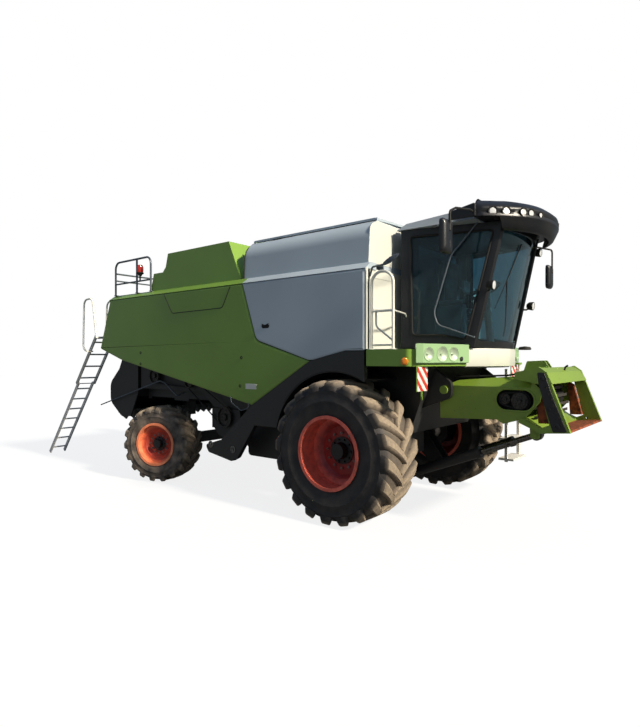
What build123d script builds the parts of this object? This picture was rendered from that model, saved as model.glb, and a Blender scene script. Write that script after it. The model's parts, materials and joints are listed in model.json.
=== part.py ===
"""Combine harvester without its header, as an assembly of separate named pieces.

Millimetres. +X points forward, +Y to the machine's left and +Z up, with the ground at Z = 0. Everything is
laid out from the front axle (X = 0), and is moved by ORIGIN_X when it is written, so that the origin lies
on the ground under the middle of the whole machine.
"""
from build123d import *
import math
import os

# ---------------------------------------------------------------- driving sizes
GAP = 6.0  # clearance between pieces that move past each other
FIT = 0.05  # radial running clearance of a shaft in its bore
SEAT = 0.3  # gap of a piece to what it rests on

# wheels and axles
FRONT_TRACK = 2767.0
FRONT_TYRE = dict(radius=881.0, width=690.0, seat=425.0, flange=454.0, lugs=20, lug_height=52.0,
                  lug_thick=58.0)
FRONT_DISC_DEPTH = 320.0  # from the rim's outer edge in to the disc
FRONT_SPINDLE_R = 60.0
REAR_TYRE = dict(radius=620.0, width=500.0, seat=325.0, flange=350.0, lugs=18, lug_height=38.0,
                 lug_thick=44.0)
REAR_DISC_DEPTH = 150.0
REAR_SPINDLE_R = 38.0
REAR_AXLE_X = -3817.0  # kingpins
KINGPIN_Y = 1175.0
KINGPIN_R = 32.0
WHEEL_OFFSET = 230.0  # kingpin to the middle of the rear wheel
STEER_AT_REST = 21.0  # degrees that the rear wheels are turned as the machine is parked
STEER_ARM = 190.0

# body
BODY_HALF_W = 870.0
FLOOR_Z = 2300.0  # top of the threshing body, under the grain tank and engine
PANEL_Y = 1600.0  # outer face of the side panels
PANEL_T = 45.0
BELT_Z = 3060.0
BELT_TOP_Z = 3150.0
BELT_TOP_Y = 1480.0
PANEL_FRONT_X = 450.0
PANEL_BACK_X = -5030.0
PANEL_SPLIT_X = -1600.0  # silver in front, green behind

# grain tank and hoods
TANK_FRONT_X = 420.0
TANK_BACK_X = -1690.0
TANK_WALL = 40.0
WALL_BOTTOM_Z = 2125.0
TANK_RIGHT_Y = -1470.0
TANK_LEFT_Y = 1150.0
TANK_TOP_Z = 3680.0
TANK_CORNER_R = 260.0
HOOD_TOP_Z = 3730.0
SHEET = 30.0

# cab
CAB_REAR_X = 560.0
CAB_FLOOR_Z = 2150.0
CAB_TOP_Z = 3600.0
CAB_WALL = 50.0
GLASS_T = 8.0

# feeder house
FEEDER_PIVOT = (1050.0, 1640.0)
FEEDER_HALF_W = 700.0
FEEDER_PLATE = 12.0
FEEDER_LIFT_RANGE = (-30.0, 6.0)  # degrees, nose down to nose up

# lift cylinders: pins in side view, at LIFT_Y on both sides
LIFT_Y = 560.0
LIFT_BASE = (380.0, 487.0)
LIFT_EYE = (2080.0, 1162.0)
BARREL_R = 62.0
BARREL_LENGTH = 1130.0
ROD_R = 32.0
ROD_START = 930.0  # distance from the base pin to the piston

# unloading auger
AUGER_R = 190.0
AUGER_Y = 1385.0
AUGER_Z = 3370.0
AUGER_PIVOT_X = 60.0
AUGER_LENGTH = 5300.0
AUGER_PIN_R = 60.0

# rear ladder, in side view
LADDER_TOP = (-5520.0, 2440.0)
LADDER_FOLD = (-6250.0, 1540.0)
LADDER_FOOT = (-7420.0, 95.0)
LADDER_Y = (-1600.0, -1220.0)

FEEDER_LIP_X = 2476.0
ORIGIN_X = (FEEDER_LIP_X + LADDER_FOOT[0] - 30.0) / 2

PARTS = {}


# ---------------------------------------------------------------- shape helpers
def box(x, y, z):
    """A block from three (low, high) pairs."""
    size = [abs(b - a) for a, b in (x, y, z)]
    middle = [(a + b) / 2 for a, b in (x, y, z)]
    return Pos(*middle) * Box(*size)


def outline(points, place):
    """A face from (u, v) or (u, v, corner radius) points, each put in space by place(u, v)."""
    face = Face(Wire.make_polygon([Vector(u, v, 0) for u, v, *_ in points], close=True))
    for u, v, *corner in points:
        if corner:
            near = min(face.vertices(), key=lambda p: (Vector(p) - Vector(u, v, 0)).length)
            face = face.fillet_2d(corner[0], [near])
    return place * face


def side_plate(points, y_low, y_high):
    """A prism whose outline is (x, z) points, between two Y planes."""
    place = Plane(origin=(0, y_low, 0), x_dir=(1, 0, 0), z_dir=(0, -1, 0)).location
    return Solid.extrude(outline(points, place), Vector(0, y_high - y_low, 0))


def cross_prism(points, x_low, x_high):
    """A prism whose outline is (y, z) points, between two X planes."""
    place = Plane(origin=(x_low, 0, 0), x_dir=(0, 1, 0), z_dir=(1, 0, 0)).location
    return Solid.extrude(outline(points, place), Vector(x_high - x_low, 0, 0))


def slab(points, z_low, z_high):
    """A prism whose outline is (x, y) points, between two Z planes."""
    place = Location((0, 0, z_low))
    return Solid.extrude(outline(points, place), Vector(0, 0, z_high - z_low))


def rod(start, end, radius):
    """A round bar between two points."""
    a, b = Vector(*start), Vector(*end)
    place = Plane(origin=a, z_dir=b - a)
    return Solid.make_cylinder(radius, (b - a).length, place)


def cross_pin(x, z, y_low, y_high, radius):
    """A round bar along Y."""
    return rod((x, y_low, z), (x, y_high, z), radius)


def pipe(points, radius, bend):
    """A bent tube, solid inside: straight runs joined by bends of one radius."""
    corners = [Vector(*p) for p in points]
    start, pieces = corners[0], []
    for before, corner, after in zip(corners, corners[1:], corners[2:]):
        into, out = (corner - before).normalized(), (after - corner).normalized()
        turn = into.get_angle(out)
        cut = bend * math.tan(math.radians(turn) / 2)
        entry = corner - into * cut
        axis = into.cross(out).normalized()
        disc = Plane(origin=entry, z_dir=into).location * Face(Wire(Edge.make_circle(radius)))
        pieces += [rod(start, entry, radius),
                   Solid.revolve(disc, turn, Axis(entry + axis.cross(into) * bend, axis))]
        start = corner + out * cut
    return fuse(pieces + [rod(start, corners[-1], radius)])


def turned(profile):
    """A ring turned about the Y axis from (radius, y) points."""
    face = Face(Wire.make_polygon([Vector(r, y, 0) for r, y in profile], close=True))
    return Solid.revolve(face, 360, Axis.Y)


def fuse(shapes):
    """One solid of several that touch."""
    shapes = list(shapes)
    return shapes[0].fuse(*shapes[1:]) if len(shapes) > 1 else shapes[0]


def common(first, second):
    """What two shapes share, as one shape."""
    solids = first.intersect(second).solids()
    return solids[0] if len(solids) == 1 else Compound(solids)


def mirrored(shape):
    """The same piece on the machine's other side."""
    return shape.mirror(Plane.XZ)


def both(shape):
    """A right-hand piece with its left-hand twin."""
    return Compound([shape, mirrored(shape)])


def write(name, shape):
    """Keeps a node, moved from the front axle to the machine's own origin."""
    PARTS[name] = shape.moved(Location((-ORIGIN_X, 0, 0)))


# ---------------------------------------------------------------- wheels
def flat_sided(profile, sides):
    """A ring about the Y axis with flat sides, from a closed loop of (radius, y) points."""
    turns = [2 * math.pi * k / sides for k in range(sides)]
    rings = [[Vector(r * math.cos(a), y, r * math.sin(a)) for a in turns] for r, y in profile]
    faces = []
    for first, second in zip(rings, rings[1:] + rings[:1]):
        for k in range(sides):
            corners = [first[k], first[k - 1], second[k - 1], second[k]]
            faces.append(Face(Wire.make_polygon(corners, close=True)))
    return Solid(Shell(faces))


def tyre(radius, width, seat, flange, lugs, lug_height, lug_thick):
    """A lugged tyre about the Y axis: a carcass with one flat side to each lug, and raked bars fused on."""
    half, carcass_r = width / 2, radius - lug_height
    bead_y, tread_edge = half - 15, 0.9 * half
    # radius and distance from the middle, from the rim out over one flank to the tread's edge
    flank = [(seat / math.cos(math.pi / lugs), bead_y), (seat + 60, bead_y),
             (seat + 0.55 * (carcass_r - seat), half), (0.87 * carcass_r, half), (carcass_r, tread_edge)]
    body = flat_sided([(r, -y) for r, y in flank] + flank[::-1], lugs)
    # the bars lead in the middle, so that the tread bites as the wheel rolls forwards
    ahead = (1.35 * 0.4 * half + lug_thick) / 2
    foot, top = 0.92 * carcass_r, math.sqrt(radius**2 - ahead**2)
    bars = []
    for side, phase in ((-1, 0.5), (1, 0.0)):
        bar = [(ahead, side * -12), (ahead - lug_thick, side * -12),
               (-ahead, side * (tread_edge - 2)), (lug_thick - ahead, side * (tread_edge - 2))]
        block = slab(bar, foot, top)
        bars += [block.moved(Location((0, 0, 0), (0, 1, 0), 360 / lugs * (k + phase))) for k in range(lugs)]
    return body.fuse(*bars)


def rim(spec, disc_depth, bore, well):
    """A steel wheel about the Y axis, with its outer side towards -Y."""
    half = spec["width"] / 2
    seat, flange = spec["seat"], spec["flange"]
    wall, lip = 12.0, 15.0
    disc = -half + disc_depth
    return turned(
        [
            (bore, disc),
            (well, disc), (well + 50, disc - 45),
            (seat - wall, disc - 60), (seat - wall, -half),
            (flange, -half), (flange, -half + lip),
            (seat, -half + lip), (seat, half - lip),
            (flange, half - lip), (flange, half),
            (seat - wall, half), (seat - wall, disc - 60 + wall + 6),
            (well + 44, disc - 45 + 18), (well - 6, disc + 18),
            (bore, disc + 18),
        ]
    )


def hub(radius, depth, bore, bolts, bolt_r):
    """A hub cap with a ring of wheel nuts, from y = 0 outwards to -Y."""
    cap = turned([(bore, 0), (radius, 0), (radius, -18), (0.62 * radius, -26), (0.55 * radius, -depth),
                  (bore, -depth)])
    lid = turned([(0, -depth + 12), (bore, -depth + 12), (bore, -depth), (0, -depth)])
    nuts = [
        rod((0.82 * radius * math.cos(a), -14, 0.82 * radius * math.sin(a)),
            (0.82 * radius * math.cos(a), -42, 0.82 * radius * math.sin(a)), bolt_r)
        for a in (2 * math.pi * k / bolts for k in range(bolts))
    ]
    return cap.fuse(lid, *nuts)


def front_wheels():
    """Two driven front wheels, each a tyre and a steel wheel with its hub."""
    spec = FRONT_TYRE
    disc = -spec["width"] / 2 + FRONT_DISC_DEPTH
    centre = hub(170, 120, FRONT_SPINDLE_R + FIT, 10, 13).moved(Location((0, disc, 0)))
    pieces = {
        "front_tyre": tyre(**spec),
        "front_wheel": rim(spec, FRONT_DISC_DEPTH, FRONT_SPINDLE_R + FIT, 300).fuse(centre),
    }
    for name, shape in pieces.items():
        right = shape.moved(Location((0, -FRONT_TRACK / 2, spec["radius"])))
        write(name + "_right", right)
        write(name + "_left", mirrored(right))


def steered(shape, side):
    """A right-hand knuckle piece, drawn about a straight-ahead kingpin at the origin, put in place."""
    if side > 0:
        shape = mirrored(shape)
    return shape.moved(Location((REAR_AXLE_X, side * KINGPIN_Y, REAR_TYRE["radius"]), (0, 0, 1),
                                STEER_AT_REST))


def rear_wheels():
    """Two steered rear wheels on their knuckles."""
    spec = REAR_TYRE
    disc = -spec["width"] / 2 + REAR_DISC_DEPTH
    centre = hub(120, 95, REAR_SPINDLE_R + FIT, 8, 10).moved(Location((0, disc, 0)))
    pieces = {
        "rear_tyre": tyre(**spec),
        "rear_wheel": rim(spec, REAR_DISC_DEPTH, REAR_SPINDLE_R + FIT, 190).fuse(centre),
    }
    for name, shape in pieces.items():
        shape = shape.moved(Location((0, -WHEEL_OFFSET, 0)))
        write(name + "_right", steered(shape, -1))
        write(name + "_left", steered(shape, 1))


# ---------------------------------------------------------------- axles and steering
YOKE_HALF_H = 120.0
YOKE_REACH = 115.0  # from the kingpin in to the yoke's back, clear of the steering arm at full lock
KNUCKLE_HALF_H = 90.0
ARM_T = 30.0
PIN_R = 16.0


def front_axle():
    """The drive axle: gearbox, half-shaft tubes, final drives and spindles."""
    z = FRONT_TYRE["radius"]
    wheel_y = FRONT_TRACK / 2
    disc_y = wheel_y + FRONT_TYRE["width"] / 2 - FRONT_DISC_DEPTH - 18 - GAP
    half = [
        rod((0, -240, z), (0, -disc_y + 340, z), 105),
        rod((0, -disc_y + 340, z), (0, -disc_y, z), 215),
        rod((0, -disc_y + 10, z), (0, -disc_y - 100, z), FRONT_SPINDLE_R),
        box((-95, 95), (-760, -640), (z, BODY_BOTTOM_FRONT)),
        side_plate([(-90, z + 60), (160, z + 60), (LIFT_BASE[0] + 70, LIFT_BASE[1] + 50, 40),
                    (LIFT_BASE[0] + 60, LIFT_BASE[1] - 60, 50), (LIFT_BASE[0] - 60, LIFT_BASE[1] - 60, 50),
                    (-90, z - 90)], -LIFT_Y - 105, -LIFT_Y - 80),
        side_plate([(-90, z + 60), (160, z + 60), (LIFT_BASE[0] + 70, LIFT_BASE[1] + 50, 40),
                    (LIFT_BASE[0] + 60, LIFT_BASE[1] - 60, 50), (LIFT_BASE[0] - 60, LIFT_BASE[1] - 60, 50),
                    (-90, z - 90)], -LIFT_Y + 80, -LIFT_Y + 105),
        cross_pin(*LIFT_BASE, -LIFT_Y - 110, -LIFT_Y + 110, ROD_R),
    ]
    gearbox = box((-230, 230), (-260, 260), (z - 200, z + 190))
    write("front_axle", fuse([gearbox] + half + [mirrored(s) for s in half]))


BODY_BOTTOM_FRONT = 1085.0
PIVOT_Z = 800.0


def rear_axle():
    """The steering axle: a beam that rocks on the frame's centre pin, with a yoke at each end."""
    z = REAR_TYRE["radius"]
    x = REAR_AXLE_X
    arm = [
        side_plate([(x - 80, z - 85), (x + 80, z - 85), (x + 80, z + 85), (x - 80, z + 85)],
                   -KINGPIN_Y + YOKE_REACH + 20, 0),
        box((x - 60, x + 60), (-KINGPIN_Y + YOKE_REACH, -KINGPIN_Y + YOKE_REACH + 35),
            (z - YOKE_HALF_H, z + YOKE_HALF_H)),
    ]
    for side in (-1, 1):
        ear_z = (z + side * YOKE_HALF_H, z + side * (YOKE_HALF_H - 24))
        arm.append(box((x - 60, x + 60), (-KINGPIN_Y, -KINGPIN_Y + YOKE_REACH + 25), ear_z))
        arm.append(rod((x, -KINGPIN_Y, min(ear_z)), (x, -KINGPIN_Y, max(ear_z)), 60))
    arm.append(rod((x, -KINGPIN_Y, z - YOKE_HALF_H - 8), (x, -KINGPIN_Y, z + YOKE_HALF_H + 8), KINGPIN_R))
    middle = box((x - 80, x + 80), (-110, 110), (z, PIVOT_Z + 70))
    bar = rod((x - 130, 0, PIVOT_Z), (x + 130, 0, PIVOT_Z), 40)
    write("rear_axle", fuse([middle, bar] + arm + [mirrored(s) for s in arm]))


def knuckle():
    """A right-hand knuckle about a straight-ahead kingpin at the origin, spindle towards -Y."""
    disc_y = -WHEEL_OFFSET - REAR_TYRE["width"] / 2 + REAR_DISC_DEPTH
    block = [
        rod((0, 0, -KNUCKLE_HALF_H), (0, 0, KNUCKLE_HALF_H), 56),
        rod((0, -20, 0), (0, disc_y + 18 + GAP, 0), 62),
        rod((0, -60, 0), (0, disc_y - 70, 0), REAR_SPINDLE_R),
        slab([(20, -50), (20, 45), (-STEER_ARM, 32), (-STEER_ARM, -32)], 20, 20 + ARM_T),
        rod((-STEER_ARM, 0, 20), (-STEER_ARM, 0, 20 + ARM_T), 34),
        rod((-STEER_ARM, 0, 20 - 50), (-STEER_ARM, 0, 30), PIN_R),
    ]
    shape = fuse(block)
    return shape.cut(rod((0, 0, -200), (0, 0, 200), KINGPIN_R + FIT))


def steering():
    """Knuckles and the tie rod between their arms."""
    shape = knuckle()
    write("knuckle_right", steered(shape, -1))
    write("knuckle_left", steered(shape, 1))
    turn = math.radians(STEER_AT_REST)
    x = REAR_AXLE_X - STEER_ARM * math.cos(turn)
    z = REAR_TYRE["radius"] + 20 - 8 - 24
    shift = -STEER_ARM * math.sin(turn)
    ends = [side * KINGPIN_Y + shift for side in (-1, 1)]
    bar = [rod((x, ends[0], z), (x, ends[1], z), 16)]
    for y, clear in zip(ends, (FIT, 2.0)):
        bar.append(rod((x, y, z - 20), (x, y, z + 20), 34))
    shape = fuse(bar)
    for y, clear in zip(ends, (FIT, 2.0)):
        shape = shape.cut(rod((x, y, z - 60), (x, y, z + 60), PIN_R + clear))
    write("tie_rod", shape)


# ---------------------------------------------------------------- frame and body
PIVOT_BAR_R = 50.0
NOSE = [(930, 1900), (640, BODY_BOTTOM_FRONT)]


def threshing_body():
    """The closed inner body: drum housing in front, sieve box below, walker housing behind."""
    profile = [
        (TANK_FRONT_X, FLOOR_Z), (TANK_FRONT_X, WALL_BOTTOM_Z - GAP), (NOSE[0][0], WALL_BOTTOM_Z - GAP),
        NOSE[0], NOSE[1],
        (-700, BODY_BOTTOM_FRONT), (-1000, 800), (-2500, 800, 120), (-2950, 1390, 120), (-4850, 1460),
        (-4850, 2160), (-4350, FLOOR_Z),
    ]
    body = side_plate(profile, -BODY_HALF_W, BODY_HALF_W)
    px, pz = FEEDER_PIVOT
    inner = FEEDER_HALF_W + GAP
    hanger = side_plate([(800, 1890), (930, 1890), (px + 90, pz + 90, 80), (px + 90, pz - 90, 80),
                         (700, 1380)],
                        -inner - 60, -inner)
    body = fuse([body, hanger, mirrored(hanger)])
    for side in (-1, 1):
        body = body.cut(cross_pin(px, pz, side * (inner + 30) - 60, side * (inner + 30) + 60,
                                  PIVOT_BAR_R + FIT))
    write("threshing_body", body)


RAIL_Y = (-960.0, -BODY_HALF_W)
TOW_PIN_R = 20.0
TOW_PIN_LENGTH = 130.0
TOW_X = -4900.0
TOW_Z = 1010.0


def chassis_frame():
    """Two side rails outside the body, cross members, the rear axle's pivot bracket and the tow jaw."""
    rail = side_plate(
        [(350, BODY_BOTTOM_FRONT), (350, 1240), (-2750, 1240), (-3080, 1480), (-4800, 1480),
         (-4800, 1330), (-3030, 1330), (-2700, BODY_BOTTOM_FRONT)], *RAIL_Y)
    x = REAR_AXLE_X
    members = [
        box((x - 200, x + 200), (RAIL_Y[0], -RAIL_Y[0]), (1290, 1340)),
        box((x - 130, x - 95), (-170, 170), (PIVOT_Z - 60, 1300)),
        box((x + 95, x + 130), (-170, 170), (PIVOT_Z - 60, 1300)),
        box((-4800, -4700), (RAIL_Y[0], -RAIL_Y[0]), (1290, 1400)),
        box((-4850, -4760), (-90, 90), (TOW_Z - 90, 1400)),
        box((TOW_X - 90, -4800), (-70, 70), (TOW_Z + 40, TOW_Z + 65)),
        box((TOW_X - 90, -4800), (-70, 70), (TOW_Z - 65, TOW_Z - 40)),
    ]
    shape = fuse([rail, mirrored(rail)] + members)
    shape = shape.cut(rod((x - 140, 0, PIVOT_Z), (x + 140, 0, PIVOT_Z), 40 + FIT))
    shape = shape.cut(rod((TOW_X - 30, 0, TOW_Z - 100), (TOW_X - 30, 0, TOW_Z + 100), TOW_PIN_R))
    write("chassis_frame", shape)


def side_covers():
    """The black covers of the side drives, the fan housing and the box behind each front wheel."""
    body_y, rail_y = -BODY_HALF_W - SEAT, RAIL_Y[0] - SEAT
    cover = side_plate([(-4800, 1483), (-4800, 2120), (-1830, 1740), (-1830, 1243), (-2749, 1243),
                        (-3079, 1483)],
                       -1120, body_y)
    fan = common(cross_pin(-2450, 1110, -1150, rail_y, 330), box((-3000, -2000), (-1200, 0), (700, 1237)))
    case = side_plate([(-1800, 610, 60), (-975, 610, 60), (-975, 1500), (-1300, 1500), (-1800, 1300)],
                      -1290, rail_y)
    write("side_covers", both(Compound([cover, fan, case])))


# ---------------------------------------------------------------- side panels, arches and belt
# lower edge of the silver panel, front to back
PANEL_EDGE = [(PANEL_FRONT_X, 2112), (164, 2112), (-375, 1992)]
GREEN_TIP = (-1418, 1381)
GREEN_REAR = [(-4670, 2000, 120), (-5365, 2207)]
PANEL_PIN_R = 5.0
PANEL_AXIS = (-PANEL_Y + 8, BELT_Z - 8)  # y, z of the right panel's hinge


def panel_pins(radius, depth):
    """Hinge pins that enter the right panel's two ends."""
    y, z = PANEL_AXIS
    return [
        rod((PANEL_FRONT_X + GAP + 10, y, z), (PANEL_FRONT_X - depth, y, z), radius),
        rod((PANEL_BACK_X - 2 * GAP - 10, y, z), (PANEL_BACK_X + depth, y, z), radius),
    ]


def side_panels():
    """The big side panels, hinged at the belt."""
    edge = PANEL_EDGE + [GREEN_TIP] + GREEN_REAR + [(PANEL_BACK_X, BELT_Z), (PANEL_FRONT_X, BELT_Z)]
    panel = side_plate(edge, -PANEL_Y, -PANEL_Y + PANEL_T).cut(*panel_pins(PANEL_PIN_R + FIT, 62))
    write("side_panel_right", panel)
    write("side_panel_left", mirrored(panel))


def belt():
    """The sloping ledge along the top of the panels, with the lugs and pins that the panels hang on."""
    section = [(-PANEL_Y, BELT_Z + GAP), (-BELT_TOP_Y, BELT_TOP_Z), (-BELT_TOP_Y + 110, BELT_TOP_Z),
               (-BELT_TOP_Y + 110, BELT_Z + GAP)]
    y, z = PANEL_AXIS
    pins = panel_pins(PANEL_PIN_R, 60)
    spans = (
        ("belt_front", PANEL_SPLIT_X, PANEL_FRONT_X + GAP + 12, PANEL_FRONT_X + GAP, pins[0]),
        ("belt_rear", PANEL_BACK_X - 2 * GAP - 12, PANEL_SPLIT_X, PANEL_BACK_X - 2 * GAP - 12, pins[1]),
    )
    socket, cradle = auger_seats()
    for (name, back, front, lug_x, pin), seat in zip(spans, (socket, cradle)):
        lug = box((lug_x, lug_x + 12), (y - 8, y + 30), (z - 10, BELT_Z + GAP + 4))
        right = fuse([cross_prism(section, back, front), lug, pin])
        write(name, Compound([right, fuse([mirrored(right), seat])]))


def arch():
    """The black wheel arch: an outer plate that runs back and down as an arm, with a fender roof inside."""
    drop = PANEL_EDGE[0][1] - GAP - 2
    top = [(PANEL_FRONT_X, drop), (164, drop), (-375, 1984), (GREEN_TIP[0], GREEN_TIP[1] - 8)]
    end = [(-2036, 850), (-2394, 745, 40), (-2320, 640, 50), (-1820, 560, 60), (-1700, 620), (-1356, 1106)]
    plate = side_plate(top + end + [(-900, 1106), (PANEL_FRONT_X, 1106)], -PANEL_Y, -PANEL_Y + 70)
    axle_z = FRONT_TYRE["radius"]
    inner, outer = axle_z + 90, axle_z + 118
    hole = cross_pin(0, axle_z, -PANEL_Y - 10, -PANEL_Y + 80, inner)
    roof = cross_pin(0, axle_z, -PANEL_Y, -BODY_HALF_W, outer).cut(
        cross_pin(0, axle_z, -PANEL_Y - 10, -BODY_HALF_W + 10, inner))
    roof = common(roof, box((-930, PANEL_FRONT_X), (-PANEL_Y, -BODY_HALF_W), (1260, 2100)))
    shape = plate.cut(hole).fuse(roof)
    bracket = box((-1900, -1820), (-PANEL_Y + 60, -BODY_HALF_W), (830, 900))
    shape = shape.fuse(bracket)
    write("wheel_arches", both(shape))


# ---------------------------------------------------------------- grain tank, engine and upper deck
LID_SEAM_Y = -80.0
LID_T = 28.0
LID_Z = TANK_TOP_Z + 2 * GAP
LID_END = 20.0  # from the bin's ends to the lids'
LID_PIN_R = 6.0
LID_AXIS_IN = 14.0  # from the lid's lower edge in and up to its hinge axis
LID_EDGES = (TANK_RIGHT_Y + 190, TANK_LEFT_Y)


def lid_pins(radius, depth):
    """The four hinge pins of the two lids, reaching in by depth from the bin's ends."""
    pins = []
    for side, edge in zip((1, -1), LID_EDGES):
        y, z = edge + side * LID_AXIS_IN, LID_Z + LID_AXIS_IN
        pins.append(rod((TANK_FRONT_X, y, z), (TANK_FRONT_X - depth, y, z), radius))
        pins.append(rod((TANK_BACK_X, y, z), (TANK_BACK_X + depth, y, z), radius))
    return pins


def grain_tank():
    """The open-topped bin: hopper between the panels, flared hood above the belt."""
    z0, w = FLOOR_Z, TANK_WALL
    half = 1130.0
    corner = min(TANK_CORNER_R, 0.5 * (TANK_TOP_Z - BELT_TOP_Z))  # kept within the wall
    top = [(TANK_RIGHT_Y + 190, TANK_TOP_Z), (TANK_RIGHT_Y + 35, TANK_TOP_Z - 70, corner),
           (TANK_RIGHT_Y, BELT_TOP_Z), (-half, BELT_TOP_Z)]
    outer = [(-330, z0), (-half, z0 + 520)] + top[::-1] + [
        (TANK_LEFT_Y, TANK_TOP_Z), (TANK_LEFT_Y, z0 + 520), (330, z0)]
    inner = [(-310, z0 + w), (-half + w, z0 + 540), (-half + w, BELT_TOP_Z + w),
             (TANK_RIGHT_Y + w, BELT_TOP_Z + w), (TANK_RIGHT_Y + 40 + w, TANK_TOP_Z - 95, corner - 40),
             (TANK_RIGHT_Y + 190 + w, TANK_TOP_Z + 10), (TANK_LEFT_Y - w, TANK_TOP_Z + 10),
             (TANK_LEFT_Y - w, z0 + 540), (310, z0 + w)]
    shell = cross_prism(outer, TANK_BACK_X, TANK_FRONT_X)
    shell = shell.cut(cross_prism(inner, TANK_BACK_X + w, TANK_FRONT_X - w))
    wall = box((TANK_FRONT_X, TANK_FRONT_X + 30), (-1360, 1360), (WALL_BOTTOM_Z, BELT_Z))
    lugs = []
    for side, edge in zip((1, -1), LID_EDGES):
        y = edge + side * LID_AXIS_IN
        for x in (TANK_BACK_X, TANK_FRONT_X - 12):
            lugs.append(box((x, x + 12), (y - 14, y + 14), (TANK_TOP_Z - 20, LID_Z + LID_AXIS_IN + 12)))
    write("grain_tank", fuse([shell, wall] + lugs + lid_pins(LID_PIN_R, 60)))


def tank_lids():
    """Two crowned covers over the bin, hinged along its outer top edges."""
    crown = 50.0
    spans = (("tank_lid_right", LID_EDGES[0], LID_SEAM_Y - GAP / 2),
             ("tank_lid_left", LID_EDGES[1], LID_SEAM_Y + GAP / 2))
    for name, edge, seam in spans:
        ends = sorted([(edge, LID_Z), (seam, LID_Z + crown)])
        section = ends + [(y, z + LID_T) for y, z in ends[::-1]]
        lid = cross_prism(section, TANK_BACK_X + LID_END, TANK_FRONT_X - LID_END)
        write(name, lid.cut(*lid_pins(LID_PIN_R + FIT, 62)))


def engine():
    """The engine, as one plain block on the body behind the bin."""
    write("engine", box((-3350, -2150), (-600, 600), (FLOOR_Z, 3250)))


HOOD_PROFILE = [(-3970, BELT_TOP_Z), (-3880, 3440), (-3630, 3440), (-3550, 3520), (-3490, HOOD_TOP_Z),
                (-2020, HOOD_TOP_Z), (-1760, BELT_TOP_Z)]


def engine_hood():
    """The green hood over the engine and radiator, open below."""
    s = SHEET
    inner = [(-3970 + s, BELT_TOP_Z - 10), (-3880 + s, 3440 - s), (-3630 + s, 3440 - s),
             (-3550 + s, 3520 - s),
             (-3490 + s, HOOD_TOP_Z - s), (-2020 - s, HOOD_TOP_Z - s), (-1760 - s, BELT_TOP_Z - 10)]
    shell = side_plate(HOOD_PROFILE, TANK_RIGHT_Y, TANK_LEFT_Y)
    shell = shell.cut(side_plate(inner, TANK_RIGHT_Y + s, TANK_LEFT_Y - s))
    write("engine_hood", shell)


def rear_deck():
    """The deck and cross frame that carry the hoods, from the bin back to the rear wall."""
    inner_y = -BELT_TOP_Y + 110
    deck = box((PANEL_BACK_X + 40, -3700), (inner_y, -inner_y), (BELT_TOP_Z - 60, BELT_TOP_Z - 2))
    legs = [box((x, x + 60), (-870, -810), (FLOOR_Z, BELT_TOP_Z - 50)) for x in (-3760, -4300)]
    wall = side_plate([(PANEL_BACK_X + 40, BELT_TOP_Z - 2), (PANEL_BACK_X, BELT_TOP_Z - 2),
                       (PANEL_BACK_X, BELT_Z), WALL_FOOT, (-5300, 2190), (PANEL_BACK_X + 40, BELT_Z)],
                      -PANEL_Y + PANEL_T + GAP, PANEL_Y - PANEL_T - GAP)
    notch = [box((PANEL_BACK_X - 20, PANEL_BACK_X + 60), (inner_y - 300, inner_y),
                 (BELT_Z, BELT_TOP_Z + 10))]
    wall = wall.cut(*notch, *[mirrored(s) for s in notch])
    write("rear_deck", fuse([deck, wall] + legs + [mirrored(s) for s in legs]))


WALL_FOOT = (-5355.0, 2200.0)


def straw_hood():
    """The black straw hood and chopper housing behind the rear wheels, open below."""
    front = -4850 - SEAT
    outer = [(front, 1400), (front, 2170), (-5290, 2170), (-5480, 1830, 150), (-5790, 1560, 200),
             (-5790, 1200, 200), (-5400, 930, 150), (-5100, 950)]
    inner = [(-4890, 1300), (-4890, 2140), (-5270, 2140), (-5450, 1800, 140), (-5760, 1540, 180),
             (-5760, 1220, 180), (-5400, 900, 100), (-5110, 900)]
    shell = side_plate(outer, -1150, 1150).cut(side_plate(inner, -1125, 1125))
    write("straw_hood", shell)


# ---------------------------------------------------------------- cab
A_PILLAR = ((1370.0, 700.0), (1700.0, 640.0))  # x, half-width at the floor and at the roof
CAB_REAR_HALF_W = 950.0
SCREEN_BOW = (150.0, 120.0)


def pillar_x(z):
    """The front pillar's x at a height."""
    (x0, _), (x1, _) = A_PILLAR
    return x0 + (x1 - x0) * (z - CAB_FLOOR_Z) / (CAB_TOP_Z - CAB_FLOOR_Z)


def cab_ring(level, inset):
    """The cab's plan at the floor (0) or the roof (1), moved in by inset."""
    x1, y1 = A_PILLAR[level]
    slope = (CAB_REAR_HALF_W - y1) / (x1 - CAB_REAR_X)
    shift = inset * math.hypot(1, slope)

    def side_y(x):
        return CAB_REAR_HALF_W - slope * (x - CAB_REAR_X) - shift

    z = (CAB_FLOOR_Z, CAB_TOP_Z)[level]
    rear, front = CAB_REAR_X + inset, x1 - inset
    nose = x1 + SCREEN_BOW[level] - inset
    right_rear, left_rear = Vector(rear, -side_y(rear), z), Vector(rear, side_y(rear), z)
    right, left = Vector(front, -side_y(front), z), Vector(front, side_y(front), z)
    return Wire([
        Edge.make_line(right_rear, right),
        Edge.make_three_point_arc(right, Vector(nose, 0, z), left),
        Edge.make_line(left, left_rear),
        Edge.make_line(left_rear, right_rear),
    ])


def cab_block(inset):
    """The cab's whole form, moved in by inset on every side wall."""
    return Solid.make_loft([cab_ring(0, inset), cab_ring(1, inset)], ruled=True)


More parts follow.
